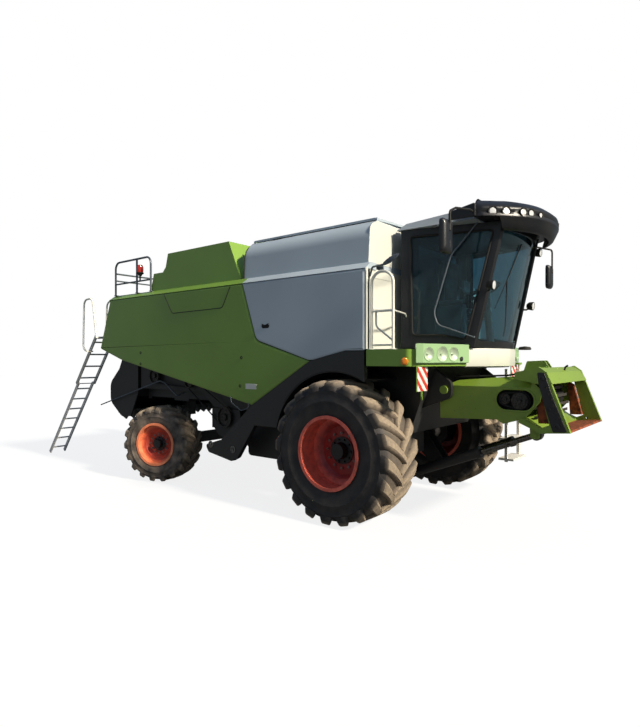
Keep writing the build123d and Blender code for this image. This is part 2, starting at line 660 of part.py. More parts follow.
SILL_Z = CAB_FLOOR_Z + 40
HEAD_Z = CAB_TOP_Z - 40
DOOR_EDGE = [(CAB_REAR_X + 80, SILL_Z), (pillar_x(SILL_Z) - 27, SILL_Z), (pillar_x(HEAD_Z) - 27, HEAD_Z),
             (CAB_REAR_X + 80, HEAD_Z)]
WINDOW_EDGE = [(CAB_REAR_X + 135, CAB_FLOOR_Z + 150, 60), (CAB_REAR_X + 480, CAB_FLOOR_Z + 150, 100),
               (pillar_x(SILL_Z) - 72, CAB_FLOOR_Z + 92, 50), (pillar_x(HEAD_Z) - 72, CAB_TOP_Z - 90, 50),
               (CAB_REAR_X + 115, CAB_TOP_Z - 90, 40)]


def shrunk(points, by):
    """A convex outline's corners pulled towards its middle by about by in x and z."""
    mx = sum(p[0] for p in points) / len(points)
    mz = sum(p[1] for p in points) / len(points)
    return [(p[0] - math.copysign(by, p[0] - mx), p[1] - math.copysign(by, p[1] - mz),
             *p[2:]) for p in points]


DOOR_HINGE = (622.0, 975.0)
DOOR_HINGE_Z = (CAB_FLOOR_Z + 330, CAB_TOP_Z - 360)


def cab():
    """The hollow cab: shell with its windows cut, glass, and the left door."""
    block = cab_block(0)
    room = common(cab_block(CAB_WALL),
                  box((0, 4 * CAB_REAR_X + 900), (-2 * CAB_REAR_HALF_W, 2 * CAB_REAR_HALF_W),
                                             (CAB_FLOOR_Z + CAB_WALL, CAB_TOP_Z - 30)))
    shell = block.cut(room)
    wide, deep = CAB_REAR_HALF_W + 250, CAB_REAR_HALF_W / 2
    right_window = side_plate(WINDOW_EDGE, -wide, -deep)
    left_window = mirrored(right_window)
    low, high = A_PILLAR[0][1] - 48, A_PILLAR[1][1] - 45
    screen = cross_prism([(-low, CAB_FLOOR_Z + 75, 60), (low, CAB_FLOOR_Z + 75, 60),
                          (high, CAB_TOP_Z - 90, 60),
                          (-high, CAB_TOP_Z - 90, 60)], A_PILLAR[0][0] - 110, A_PILLAR[1][0] + 300)
    half, low_z, high_z = 600, CAB_FLOOR_Z + 550, CAB_TOP_Z - 120
    rear_edge = [(-half, low_z, 40), (half, low_z, 40), (half, high_z, 40), (-half, high_z, 40)]
    rear_window = cross_prism(rear_edge, CAB_REAR_X - 100, CAB_REAR_X + CAB_WALL + 20)
    doorway = side_plate(DOOR_EDGE, deep, wide)
    leaf_cut = side_plate(shrunk(DOOR_EDGE, GAP), deep, wide)
    wall = cab_block(0).cut(cab_block(CAB_WALL))
    x, y = DOOR_HINGE
    lugs, brackets, bores = [], [], []
    for z in DOOR_HINGE_Z:
        lugs.append(slab([(x - 14, y - 12), (x + 34, y - 44), (x + 40, y - 70), (x + 80, y - 75),
                          (x + 14, y + 14)], z, z + 60))
        bores.append(rod((x, y, z - 50), (x, y, z + 90), 8 + FIT))
        brackets.append(slab([(x - 50, y - 60), (x + 8, y - 60), (x + 14, y + 14), (x - 14, y + 14)],
                             z - 40, z - 1))
        brackets.append(rod((x, y, z - 20), (x, y, z + 60), 8))
    leaf = common(wall, leaf_cut).cut(left_window)
    leaf = fuse([leaf] + lugs)
    for bore in bores:
        leaf = leaf.cut(bore)
    write("cab_door", leaf)
    shell = shell.cut(right_window, screen, rear_window, doorway)
    mounts = [rod((mx, my, WALL_BOTTOM_Z - GAP + SEAT), (mx, my, CAB_FLOOR_Z + 5), 55)
              for mx in (660, 870) for my in (-600, 600)]
    write("cab_shell", fuse([shell] + brackets + mounts))
    middle = CAB_WALL / 2
    pane = cab_block(middle - GLASS_T / 2).cut(cab_block(middle + GLASS_T / 2))
    write("door_glass", common(pane, left_window))
    rear_x = CAB_REAR_X + middle
    rear_pane = cross_prism(rear_edge, rear_x - GLASS_T / 2, rear_x + GLASS_T / 2)
    write("cab_glass", Compound([common(pane, right_window), common(pane, screen), rear_pane]))


def cab_inside():
    """Seat, steering column with its wheel, and the control console."""
    floor = CAB_FLOOR_Z + CAB_WALL
    back = CAB_TOP_Z - 250
    seat = [
        box((720, 1080), (-200, 200), (floor, floor + 330)),
        box((690, 1180), (-250, 250), (floor + 330, floor + 460)),
        side_plate([(680, floor + 440), (800, floor + 440), (730, back, 35), (640, back, 35)], -240, 240),
    ]
    write("operator_seat", fuse(seat))
    console = fuse([box((760, 1150), (-460, -330), (floor, floor + 520)),
                    box((1050, 1140), (-430, -350), (floor + 500, floor + 760))])
    tilt = Vector(-0.45, 0, 0.9).normalized()
    top = Vector(1250, 0, floor + 700)
    base = Vector(1270, 0, floor + 30)
    wheel = Plane(origin=top, z_dir=tilt).location * Torus(190, 16)
    spoke = [rod(tuple(top - Vector(0, 183, 0)), tuple(top + Vector(0, 183, 0)), 11)]
    foot = box((1200, 1340), (-70, 70), (floor, floor + 60))
    column = fuse([foot, rod(tuple(base), tuple(top), 45), wheel] + spoke)
    write("cab_controls", Compound([console, column]))


VISOR_MID_Z = CAB_TOP_Z + 70
VISOR_HALF_W = 1000.0  # over the wings beside the roof
VISOR_BACK_X = 1505.0
VISOR_CORNER = (1610.0, 970.0)
VISOR_NOSE_X = 2110.0


def roof():
    """The pale roof cap, and the black lamp visor that wraps its front with a wing along each side."""
    cap = Solid.make_loft([
        Wire.make_polygon([Vector(x, y, CAB_TOP_Z) for x, y in
                           ((500, -960), (1500, -930), (1500, 930), (500, 960))], close=True),
        Wire.make_polygon([Vector(x, y, CAB_TOP_Z + z) for x, y, z in
                           ((560, -820, 105), (1450, -820, 165), (1450, 820, 165), (560, 820, 105))],
                          close=True)],
        ruled=True)
    write("cab_roof", cap)
    rings = []
    corner_x, half = VISOR_CORNER
    for rise, grow in ((-125, -90), (10, 0), (95, -5), (200, -110), (240, -240)):
        z, y = CAB_TOP_Z + rise, half + grow * 0.5
        back = min(VISOR_BACK_X, corner_x + grow - 30)
        right, left = Vector(corner_x + grow, -y, z), Vector(corner_x + grow, y, z)
        rings.append(Wire([
            Edge.make_line(Vector(back, -y, z), right),
            Edge.make_three_point_arc(right, Vector(VISOR_NOSE_X + grow, 0, z), left),
            Edge.make_line(left, Vector(back, y, z)),
            Edge.make_line(Vector(back, y, z), Vector(back, -y, z)),
        ]))
    visor = Solid.make_loft(rings, ruled=True)
    # open below over the door's swing and round the windscreen
    visor = visor.cut(box((1200, A_PILLAR[1][0] + 35), (-1100, 1100), (CAB_TOP_Z - 200, CAB_TOP_Z)),
                      cab_block(-8),
                      box((1200, VISOR_BACK_X), (-1100, 1100), (CAB_TOP_Z - 200, CAB_TOP_Z + 260)))
    wing = side_plate([(1210, CAB_TOP_Z + 12), (1535, CAB_TOP_Z + 12), (1535, CAB_TOP_Z + 165),
                       (1210, CAB_TOP_Z + 105)],
                      -VISOR_HALF_W, -VISOR_HALF_W + 38)
    write("roof_visor", fuse([visor, wing, mirrored(wing)]))


# ---------------------------------------------------------------- platforms and front fascia
DECK_TOP_Z = 2120.0
DECK_BOTTOM_Z = 1930.0


ACCESS_AXIS = (1160.0, 1560.0)
ACCESS_PIN_R = 14.0


def beside(path, distance):
    """An open line of (x, y) points moved to its right by a distance, with mitred corners."""
    moved = []
    for k, (x, y) in enumerate(path):
        runs = [(path[i], path[i + 1]) for i in (k - 1, k) if 0 <= i < len(path) - 1]
        normals = []
        for (x0, y0), (x1, y1) in runs:
            length = math.hypot(x1 - x0, y1 - y0)
            normals.append(((y1 - y0) / length, -(x1 - x0) / length))
        nx, ny = sum(n[0] for n in normals) / len(normals), sum(n[1] for n in normals) / len(normals)
        size = nx * nx + ny * ny
        moved.append((x + nx * distance / size, y + ny * distance / size))
    return moved


# plan of the deck's edge that the lamp housing follows
LAMP_EDGE = [(1020, -PANEL_Y), (1130, -1500), (1330, -760)]
LAMP_DEPTH = 38.0


def platforms():
    """The walkways beside the cab, the fascia between them and the lamp housings on their front edges."""
    body_y = -BODY_HALF_W - SEAT
    back = PANEL_FRONT_X + 30
    plan = [(back, -PANEL_Y), (*LAMP_EDGE[0], 60), (*LAMP_EDGE[1], 60), LAMP_EDGE[2], (1290, -720),
            (940, -800), (936, body_y), (back, body_y)]
    deck = slab(plan, DECK_BOTTOM_Z, DECK_TOP_Z)
    hollow = slab([(back + 30, -PANEL_Y + 30), (1000, -PANEL_Y + 30), (1090, -1480), (1270, -800),
                   (960, -840), (960, body_y - 30), (back + 30, body_y - 30)], DECK_BOTTOM_Z - 10,
                  DECK_TOP_Z - 40)
    side = deck.cut(hollow)
    bow = [(1300, -745), (1490, -400), (1555, 0), (1490, 400), (1300, 745)]
    centre = slab(bow + beside(bow, -40)[::-1], DECK_BOTTOM_Z - 5, DECK_TOP_Z + 12)
    x, y = ACCESS_AXIS
    bracket = [box((980, x + 30), (y - 110, y + 30), (DECK_BOTTOM_Z, DECK_BOTTOM_Z + 30)),
               rod((x, y, 1800), (x, y, DECK_BOTTOM_Z + 10), ACCESS_PIN_R)]
    write("platforms", fuse([side, mirrored(side), centre] + bracket))
    write("cab_pan",
          slab([(NOSE[0][0] + SEAT, -690), (1270, -690), (1430, -380), (1490, 0), (1430, 380), (1270, 690),
                           (NOSE[0][0] + SEAT, 690)], DECK_BOTTOM_Z - 25, DECK_TOP_Z - 10))
    path = [(1085, -1541), *LAMP_EDGE[1:]]
    inner, outer = beside(path, SEAT), beside(path, LAMP_DEPTH)
    housing = slab(inner + [outer[2], (*outer[1], 90), outer[0]], DECK_BOTTOM_Z + 35, DECK_TOP_Z + 60)
    write("lamp_housings", both(housing))
    a, b = Vector(*LAMP_EDGE[1], 0), Vector(*LAMP_EDGE[2], 0)
    along = (b - a).normalized()
    out = Vector(along.Y, -along.X, 0)
    lamps = []
    for share in (0.10, 0.39, 0.61):
        seat = a + (b - a) * share + Vector(0, 0, 2050) + out * (LAMP_DEPTH + SEAT)
        lamps.append(rod(tuple(seat), tuple(seat + out * 14), 62))
    write("headlamps", both(Compound(lamps)))


def rails():
    """White handrails by the cab and the grey rails round the rear deck."""
    r = 17.0
    z0, z1 = DECK_TOP_Z, 3010.0
    y = -1550.0
    loop = pipe([(520, y, z0), (520, y, z1), (810, y, z1), (810, y, z0)], r, 140)
    bar = rod((520, y, 2560), (810, y, 2560), r - 3)
    left = pipe([(520, 1300, z0), (520, 1300, z1), (520, 1560, z1), (520, 1560, z0)], r, 110)
    top, base = 3736.0, BELT_TOP_Z - 2
    x0, post = -5010.0, -4340.0
    ends = (-1495.0, AUGER_Y - AUGER_R - 60)
    fence = [rod((x0, ends[0], top - 190), (x0, ends[1], top - 190), r - 2),
             rod((x0, ends[0], 3420), (x0, ends[1], 3420), r - 4)]
    for y, x1, foot in ((ends[0], -3930.0, BELT_TOP_Z + 5), (ends[1], -4020.0, base)):
        fence += [
            pipe([(x0, y, foot), (x0, y, top), (x1, y, top), (x1, y, foot)], r, 120),
            rod((x0, y, 3350), (x1, y, 3350), r - 3),
            rod((post, y, foot), (post, y, top), r),
        ]
    inner = TANK_RIGHT_Y - 4
    for x, y in ((x0, inner + 60), (post, inner + 60), (-3930.0, inner)):
        fence.append(box((x - 28, x + 28), (ends[0] - 20, y), (BELT_TOP_Z + SEAT, BELT_TOP_Z + 10)))
    write("handrails", Compound([fuse([loop, bar]), left, fuse(fence)]))


# ---------------------------------------------------------------- feeder house and lift cylinders
LATCH_R = 16.0
LATCH = (2300.0, 1262.0)  # x, z of the header's lower latch holes
FRAME_SIDE = [(1890, 1860), (2150, 1925), (2235, 1865), (FEEDER_LIP_X, 1228), (2170, 1202), (1920, 1310),
              (1960, 1350), (2175, 1262), (2262, 1300), (2150, 1735), (1890, 1790)]
DRIVE_OVAL = [(1665, 1432), (2093, 1668)]  # opposite corners of the opening over the drum's drive


def feeder():
    """The feeder duct with its pivot stubs, front frame, rusty sill, chain, drum and side drive."""
    duct = [(970, 1290), (960, 1660), (1180, 1757), (1810, 1812), (2010, 1816), (2172, 1666), (2155, 1540),
            (1985, 1345), (1746, 1272), (1669, 1318)]
    t = FEEDER_PLATE
    w = FEEDER_HALF_W
    bore = [(940, 1290 + t), (940, 1660 - t), (1180, 1757 - t), (1810, 1812 - t), (2010, 1816 - t),
            (2300, 1700), (2300, 1345), (1985, 1345 + t), (1746, 1272 + t), (1669, 1318 + t)]
    # the duct's upper edges slope in
    slope = [(-w - 5, 1688), (-w - 5, 1900), (-w + 210, 1900)]
    edge = cross_prism(slope, 900, 2060)
    inner_edge = cross_prism([(y + t, z - t) for y, z in slope], 900, 2060 - t)
    body = side_plate(duct, -w, w).cut(edge, mirrored(edge))
    room = side_plate(bore, -w + t, w - t).cut(inner_edge, mirrored(inner_edge))
    (x0, z0), (x1, z1) = DRIVE_OVAL
    r = (z1 - z0) / 2
    oval = side_plate([(x0, z0, r - 1), (x1, z0, r - 1), (x1, z1, r - 1), (x0, z1, r - 1)], -w - 5,
                      -w + t + 5)
    shell = body.cut(room, oval)
    px, pz = FEEDER_PIVOT
    stub = cross_pin(px, pz, -w - 90, -w + 20, PIVOT_BAR_R)
    eye_x, eye_z = LIFT_EYE
    ears = [
        side_plate([(eye_x - 50, eye_z - 40, 30), (eye_x + 50, eye_z - 40, 30), (eye_x + 55, 1238),
                    (eye_x - 60, 1300)], -LIFT_Y + side * 72 - 10, -LIFT_Y + side * 72 + 10)
        for side in (-1, 1)
    ]
    pin = cross_pin(eye_x, eye_z, -LIFT_Y - 90, -LIFT_Y + 90, 26)
    half = [stub] + ears + [pin]
    plate = side_plate(FRAME_SIDE, -w - 45, -w)
    plate = plate.cut(cross_pin(*LATCH, -w - 100, -w + 10, LATCH_R))
    beam = side_plate([(1930, 1805), (1930, 1845), (2150, 1915), (2230, 1862), (2292, 1742), (2262, 1735),
                       (2200, 1838), (2140, 1870), (2000, 1812)], -w - 40, w + 40)
    foot = side_plate([(1940, 1322), (2172, 1206), (2181 - SEAT, 1206), (2181 - SEAT, 1240), (2005, 1352),
                       (1950, 1345)],
                      -w - 40, w + 40)
    write("feeder_house",
          fuse([shell, plate, mirrored(plate), beam, foot] + half + [mirrored(s) for s in half]))
    write("feeder_sill", side_plate([(2181, 1203), (FEEDER_LIP_X - 4, 1229), (FEEDER_LIP_X - 12, 1249),
                                     (2181, 1223)], -w, w))
    drum = [cross_pin(1930, 1540, -w + 45, w - 30, 110), cross_pin(1930, 1540, -w - 20, w - t - SEAT, 30),
            cross_pin(1930, 1540, -w - 8, -w + 30, 92)]
    write("feeder_drum", fuse(drum))


def lift_cylinders():
    """One cylinder on each side between the axle and the feeder."""
    (bx, bz), (ex, ez) = LIFT_BASE, LIFT_EYE
    run = math.hypot(ex - bx, ez - bz)
    ux, uz = (ex - bx) / run, (ez - bz) / run

    def at(distance):
        return (bx + ux * distance, -LIFT_Y, bz + uz * distance)

    barrel = fuse([rod(at(80), at(BARREL_LENGTH), BARREL_R),
                   cross_pin(bx, bz, -LIFT_Y - 40, -LIFT_Y + 40, 60),
                   rod(at(0), at(100), 38), rod(at(BARREL_LENGTH - 60), at(BARREL_LENGTH), BARREL_R + 8)])
    barrel = barrel.cut(rod(at(140), at(BARREL_LENGTH + 10), ROD_R + FIT),
                        cross_pin(bx, bz, -LIFT_Y - 60, -LIFT_Y + 60, ROD_R + FIT))
    stem = fuse([rod(at(ROD_START), at(run - 30), ROD_R),
                 cross_pin(ex, ez, -LIFT_Y - 40, -LIFT_Y + 40, 62)])
    stem = stem.cut(cross_pin(ex, ez, -LIFT_Y - 60, -LIFT_Y + 60, 44))
    for name, shape in (("lift_barrel", barrel), ("lift_rod", stem)):
        write(name + "_right", shape)
        write(name + "_left", mirrored(shape))


# ---------------------------------------------------------------- unloading auger
def unloading_auger():
    """The folded unloading tube along the left side, on its turning elbow."""
    x, y, z = AUGER_PIVOT_X, AUGER_Y, AUGER_Z
    tube = rod((x, y, z), (x - AUGER_LENGTH, y, z), AUGER_R)
    bore = rod((x - 300, y, z), (x - AUGER_LENGTH - 10, y, z), AUGER_R - 14)
    elbow = rod((x, y, BELT_TOP_Z + GAP), (x, y, z + 200), AUGER_R + 10)
    spout = rod((x - AUGER_LENGTH + 190, y, z), (x - AUGER_LENGTH + 190, y, z - 215), AUGER_R - 25)
    pin = rod((x, y, BELT_TOP_Z - 2), (x, y, BELT_TOP_Z + 62), AUGER_PIN_R + FIT)
    write("auger_tube", fuse([tube, elbow, spout]).cut(bore, pin))


def auger_seats():
    """The pin that the auger turns on and the cradle that it rests in, on the left belt."""
    x, y = AUGER_PIVOT_X, AUGER_Y
    seat = fuse([box((x - 180, x + 180), (y - 150, y + 95), (BELT_TOP_Z - 20, BELT_TOP_Z)),
                 rod((x, y, BELT_TOP_Z - 20), (x, y, BELT_TOP_Z + 60), AUGER_PIN_R)])
    cradle = side_plate([(-4640, BELT_TOP_Z - 20), (-4560, BELT_TOP_Z - 20),
                         (-4560, AUGER_Z - AUGER_R - 0.5),
                         (-4640, AUGER_Z - AUGER_R - 0.5)], BELT_TOP_Y - 108, y + 75)
    return seat, cradle


# ---------------------------------------------------------------- ladders
def rear_ladder():
    """The two-part aluminium ladder at the rear: fixed top, folding foot, with its hand hoops."""
    def section(start, end, rungs, y_low, y_high):
        (x0, z0), (x1, z1) = start, end
        run = math.hypot(x1 - x0, z1 - z0)
        nx, nz = -(z1 - z0) / run * 30, (x1 - x0) / run * 30
        rail = [(x0 + nx, z0 + nz), (x1 + nx, z1 + nz), (x1 - nx, z1 - nz), (x0 - nx, z0 - nz)]
        bars = [side_plate(rail, y_low, y_low + 25), side_plate(rail, y_high - 25, y_high)]
        for k in range(rungs):
            share = (k + 0.5) / rungs
            bars.append(cross_pin(x0 + (x1 - x0) * share, z0 + (z1 - z0) * share, y_low + 10, y_high - 10,
                                  15))
        return fuse(bars)

    y0, y1 = LADDER_Y
    top = section(LADDER_TOP, LADDER_FOLD, 4, y0, y1)
    foot = section(LADDER_FOLD, LADDER_FOOT, 7, y0 + 25 + GAP, y1 - 25 - GAP)
    fx, fz = LADDER_FOLD
    pin = cross_pin(fx, fz, y0, y1, 9)
    foot = foot.fuse(cross_pin(fx, fz, y0 + 25 + GAP, y0 + 50 + GAP, 32),
                     cross_pin(fx, fz, y1 - 50 - GAP, y1 - 25 - GAP, 32))
    foot = foot.cut(cross_pin(fx, fz, y0, y1, 9 + FIT))
    low, high = WALL_FOOT, (PANEL_BACK_X, BELT_Z)
    slope = (low[0] - high[0]) / (low[1] - high[1])
    seat = [(high[0] - 0.3 + slope * (z - high[1]), z) for z in (2390, 2430)]
    bracket = [side_plate([(-5560, 2390)] + seat + [(-5560, 2430)], y, y + 25) for y in (y0 + 60, y1 - 30)]
    bracket.append(box((-5575, -5545), (y0 + 5, y1 - 5), (2395, 2425)))
    write("ladder_foot", foot)
    hoops = [
        pipe([(-5420, y, 2400), (-5560, y, 3140), (-5860, y, 3120), (-5900, y, 2200), (-5750, y, 2160)], 16,
             120)
        for y in (-1640, -1180)
    ]
    ties = [rod((x, a, z), (x, b, z), 12)
            for a, b in ((-1640, y0 + 70), (-1180, y1 - 15)) for x, z in ((-5424, 2410), (-5750, 2160))]
    write("ladder_top", fuse([top, pin] + bracket + hoops + ties))


def access_ladder():
    """The cab's ladder at the left front corner, which swings out on a vertical post."""
    x, y = ACCESS_AXIS
    post = rod((x, y, 560), (x, y, DECK_BOTTOM_Z - SEAT), 22)
    stiles = [box((x - 20, x + 20), (b, b + 30), (520, DECK_BOTTOM_Z - 60)) for b in (y - 560, y - 60)]
    steps = [box((x - 110, x + 110), (y - 560, y - 30), (z, z + 30)) for z in (540, 830, 1120, 1410, 1700)]
    arm = box((x - 15, x + 15), (y - 40, y), (560, 620))
    arm2 = box((x - 15, x + 15), (y - 40, y), (1700, 1760))
    ladder = fuse([post] + stiles + steps + [arm, arm2])
    write("access_ladder", ladder.cut(rod((x, y, 1790), (x, y, DECK_BOTTOM_Z), ACCESS_PIN_R + FIT)))


# ---------------------------------------------------------------- small outside pieces
MIRROR = (1560.0, -1740.0, 3425.0)  # x, y and top of the right mirror
MIRROR_ARM_DROP = 20.0  # the arm stays over the door's swing


def outside_details():
    """A mirror each side on an arm from the visor, out over the door's swing."""
    x, y, top = MIRROR
    start = -VISOR_HALF_W - SEAT
    head = slab([(x - 45, y - 70, 20), (x + 15, y - 110), (x + 25, y - 110), (x + 25, y + 110),
                 (x + 15, y + 110), (x - 45, y + 70, 20)], top - 350, top)
    mirror = [head,
              pipe([(1330, start, VISOR_MID_Z), (1330, start - 120, VISOR_MID_Z),
                    (x, y, VISOR_MID_Z - MIRROR_ARM_DROP),
                          (x, y, top - 20)], 16, 60)]
    write("mirrors", both(fuse(mirror)))


# ---------------------------------------------------------------- build
def build():
    """Makes every node and writes its STEP file."""
    for make in (front_wheels, rear_wheels, front_axle, rear_axle, steering, threshing_body,
                 chassis_frame, side_covers, side_panels, belt, arch, grain_tank, tank_lids, engine,
                 engine_hood, rear_deck, straw_hood, cab, cab_inside, roof, platforms, rails, feeder,
                 lift_cylinders, unloading_auger, rear_ladder, access_ladder, outside_details):
        make()
    os.makedirs("parts", exist_ok=True)
    for name, shape in PARTS.items():
        export_step(shape, f"parts/{name}.step")


build()
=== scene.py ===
"""Looks of a parked combine harvester without its header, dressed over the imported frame.

Metres, +X forwards, +Y to the machine's left, +Z up. Places are measured from the front axle, and the
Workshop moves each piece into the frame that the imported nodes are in.
"""
from __future__ import annotations

import json
import logging
import math
from dataclasses import dataclass
from enum import Enum
from typing import Iterable, Iterator, Sequence

import bmesh
import bpy
from mathutils import Matrix, Vector

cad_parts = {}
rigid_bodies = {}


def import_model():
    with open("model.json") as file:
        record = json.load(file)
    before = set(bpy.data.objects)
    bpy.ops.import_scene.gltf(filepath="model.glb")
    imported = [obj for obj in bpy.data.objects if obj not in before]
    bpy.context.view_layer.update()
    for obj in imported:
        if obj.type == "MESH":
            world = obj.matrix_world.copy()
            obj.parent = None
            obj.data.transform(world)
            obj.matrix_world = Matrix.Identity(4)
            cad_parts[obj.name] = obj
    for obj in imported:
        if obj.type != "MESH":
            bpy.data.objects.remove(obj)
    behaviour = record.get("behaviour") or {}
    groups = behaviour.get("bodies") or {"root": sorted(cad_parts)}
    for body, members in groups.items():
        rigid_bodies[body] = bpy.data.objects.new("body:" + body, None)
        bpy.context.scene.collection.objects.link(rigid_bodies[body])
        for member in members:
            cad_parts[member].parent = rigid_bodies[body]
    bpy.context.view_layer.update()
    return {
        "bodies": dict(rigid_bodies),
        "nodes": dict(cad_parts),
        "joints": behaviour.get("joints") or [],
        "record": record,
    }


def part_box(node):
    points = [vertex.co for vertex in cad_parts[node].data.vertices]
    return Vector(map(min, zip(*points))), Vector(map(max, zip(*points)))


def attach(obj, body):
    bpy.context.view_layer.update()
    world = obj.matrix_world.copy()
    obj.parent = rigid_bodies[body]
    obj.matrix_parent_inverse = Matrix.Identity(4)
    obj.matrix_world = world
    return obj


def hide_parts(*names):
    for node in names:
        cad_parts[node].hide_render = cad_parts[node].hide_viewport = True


LOG = logging.getLogger("combine")
Point = Sequence[float]
OTHER_SIDE = Matrix.Scale(-1, 4, (0, 1, 0))


# ---- node trees and colours
def linear(code: str) -> tuple[float, float, float, float]:
    """Turns an sRGB hex colour into linear light.

    Args:
        code: Six hex digits after a hash sign.

    Returns:
        Linear red, green, blue and a full alpha.
    """
    parts = [int(code[i:i + 2], 16) / 255 for i in (1, 3, 5)]
    lit = [p / 12.92 if p <= 0.04045 else ((p + 0.055) / 1.055) ** 2.4 for p in parts]
    return (lit[0], lit[1], lit[2], 1.0)


def feed(tree: bpy.types.NodeTree, entry: bpy.types.NodeSocket, value: object) -> None:
    """Feeds an input from a socket, from the first live output of a node, or with a plain value."""
    if isinstance(value, bpy.types.Node):
        value = next(out for out in value.outputs if out.enabled)
    if isinstance(value, bpy.types.NodeSocket):
        tree.links.new(value, entry)
    else:
        entry.default_value = value


def add(tree: bpy.types.NodeTree, kind: str, links: dict | list | None = None,
        **settings: object) -> bpy.types.Node:
    """Adds a node to a tree, with its settings and what feeds it.

    Args:
        tree: The shader or geometry tree.
        kind: The node's type name.
        links: What feeds its inputs: a list in their order, or a dict by their names or numbers.
        settings: Attributes of the node itself.

    Returns:
        The new node.
    """
    node = tree.nodes.new(kind)
    for key, value in settings.items():
        setattr(node, key, value)
    for key, value in links.items() if isinstance(links, dict) else enumerate(links or ()):
        feed(tree, node.inputs[key], value)
    return node


def placed(name: str, data: bpy.types.ID) -> bpy.types.Object:
    """Adds an object with that data to the scene."""
    item = bpy.data.objects.new(name, data)
    bpy.context.scene.collection.objects.link(item)
    return item


def settled(item: bpy.types.Object) -> bpy.types.Mesh:
    """A plain mesh of an object as its modifiers leave it, with the modifiers taken off."""
    graph = bpy.context.evaluated_depsgraph_get()
    data = bpy.data.meshes.new_from_object(item.evaluated_get(graph), depsgraph=graph)
    item.modifiers.clear()
    return data


def about(count: int) -> list[float]:
    """That many even angles round a full turn."""
    return [math.tau * k / count for k in range(count)]


class Surface:
    """A material's tree while it is written: one shader, Object coordinates and the output."""

    def __init__(self, name: str) -> None:
        """Starts a material of that name with a lone Principled shader."""
        self.material = bpy.data.materials.new(name)
        self.material.use_nodes = True
        self.tree = self.material.node_tree
        self.tree.nodes.clear()
        self.shader = self.add("BsdfPrincipled")
        self.add("OutputMaterial", [self.shader])
        self.place = self.add("TexCoord").outputs["Object"]

    def add(self, kind: str, links: dict | list | None = None, **settings: object) -> bpy.types.Node:
        """Adds a node to this material's tree, named without the ShaderNode that starts its type."""
        return add(self.tree, "ShaderNode" + kind, links, **settings)

    def grain(self, size: float, detail: float, stretch: Point = (1, 1, 1)) -> bpy.types.NodeSocket:
        """A noise whose blobs measure about size metres, drawn out along the axes by stretch.

        Args:
            size: Distance between blobs in metres.
            detail: Octaves of finer grain on top.
            stretch: How much longer the blobs are along each axis.

        Returns:
            The noise value's socket, around a half.
        """
        scaled = self.add("Mapping", {"Vector": self.place, "Scale": [1 / (size * s) for s in stretch]})
        return self.add("TexNoise", {"Vector": scaled, "Scale": 1.0, "Detail": detail},
                        noise_dimensions="3D").outputs["Fac"]

    def feed(self, **values: object) -> None:
        """Feeds the shader's inputs, with underscores for spaces in their names."""
        for key, value in values.items():
            feed(self.tree, self.shader.inputs[key.replace("_", " ")], value)


# ---- finishes
DUST = "#9a8c70"


@dataclass(frozen=True)
class Coat:
    """What every finish has: a name, and a way to write its shader."""

    name: str

    def dress(self, s: Surface) -> None:
        """Writes the shader, which each finish does in its own way."""
        raise NotImplementedError

    def make(self) -> bpy.types.Material:
        """Returns the finished material."""
        s = Surface(self.name)
        self.dress(s)
        return s.material


@dataclass(frozen=True)
class Enamel(Coat):
    """Sprayed machine enamel: even and glossy, with fine orange peel, field dust and faint rain streaks."""

    colour: str
    gloss: float = 0.32
    dust: float = 0.10
    dust_top: float = 2.2
    chips: float = 0.0
    peel: float = 0.0005

    def dress(self, s: Surface) -> None:
        """Writes the shader."""
        height = s.add("SeparateXYZ", [s.place]).outputs["Z"]
        cloud = s.add("MapRange", [s.grain(0.45, 6), 0.35, 0.75])
        run = s.add("MapRange", [s.grain(0.05, 4, stretch=(1, 1, 14)), 0.52, 0.8, 0.0, 0.35])
        lower = s.add("MapRange", [height, self.dust_top, 0.2, 0.25, 1.25])
        lying = s.add("Math", [cloud, lower, run], operation="MULTIPLY_ADD")
        dust = s.add("Math", [lying, self.dust], operation="MULTIPLY")
        fade = s.add("MapRange", [s.grain(1.4, 2), 0.3, 0.7])
        colour = s.add("Mix", {0: fade, 6: linear(self.colour), 7: self.shade(0.86)}, data_type="RGBA")
        colour = s.add("Mix", {0: dust, 6: colour, 7: linear(DUST)}, data_type="RGBA")
        if self.chips:
            worn = s.add("Math", [s.grain(0.022, 5), 0.735 - 0.05 * self.chips], operation="GREATER_THAN")
            bare = s.add("Math", [worn, 0.8], operation="MULTIPLY")
            colour = s.add("Mix", {0: bare, 6: colour, 7: linear("#5a4030")}, data_type="RGBA")
        s.feed(Base_Color=colour, Roughness=s.add("Math", [dust, 0.9, self.gloss], operation="MULTIPLY_ADD"),
               Coat_Weight=0.25, Coat_Roughness=0.12,
               Normal=s.add("Bump", {"Height": s.grain(0.006, 2), "Distance": self.peel}))

    def shade(self, share: float) -> tuple[float, float, float, float]:
        """The base colour made darker by a share, in linear light."""
        r, g, b, a = linear(self.colour)
        return (r * share, g * share, b * share, a)


@dataclass(frozen=True)
class Hub:
    """A wheel's place: its centre, the angle it is steered to and where its colours change."""

    centre: Point
    steer: float
    tread: float
    flange: float
    hub: float

    def local(self, s: Surface) -> bpy.types.NodeSocket:
        """Coordinates about the wheel's own axle, which runs along Y."""
        about_hub = {"Vector": s.place, "Location": self.centre, "Rotation": (0.0, 0.0, self.steer)}
        return s.add("Mapping", about_hub, vector_type="TEXTURE").outputs[0]

    def radius(self, s: Surface) -> bpy.types.Node:
        """Distance from the axle."""
        flat = s.add("VectorMath", [self.local(s), (1.0, 0.0, 1.0)], operation="MULTIPLY")
        return s.add("VectorMath", [flat], operation="LENGTH")


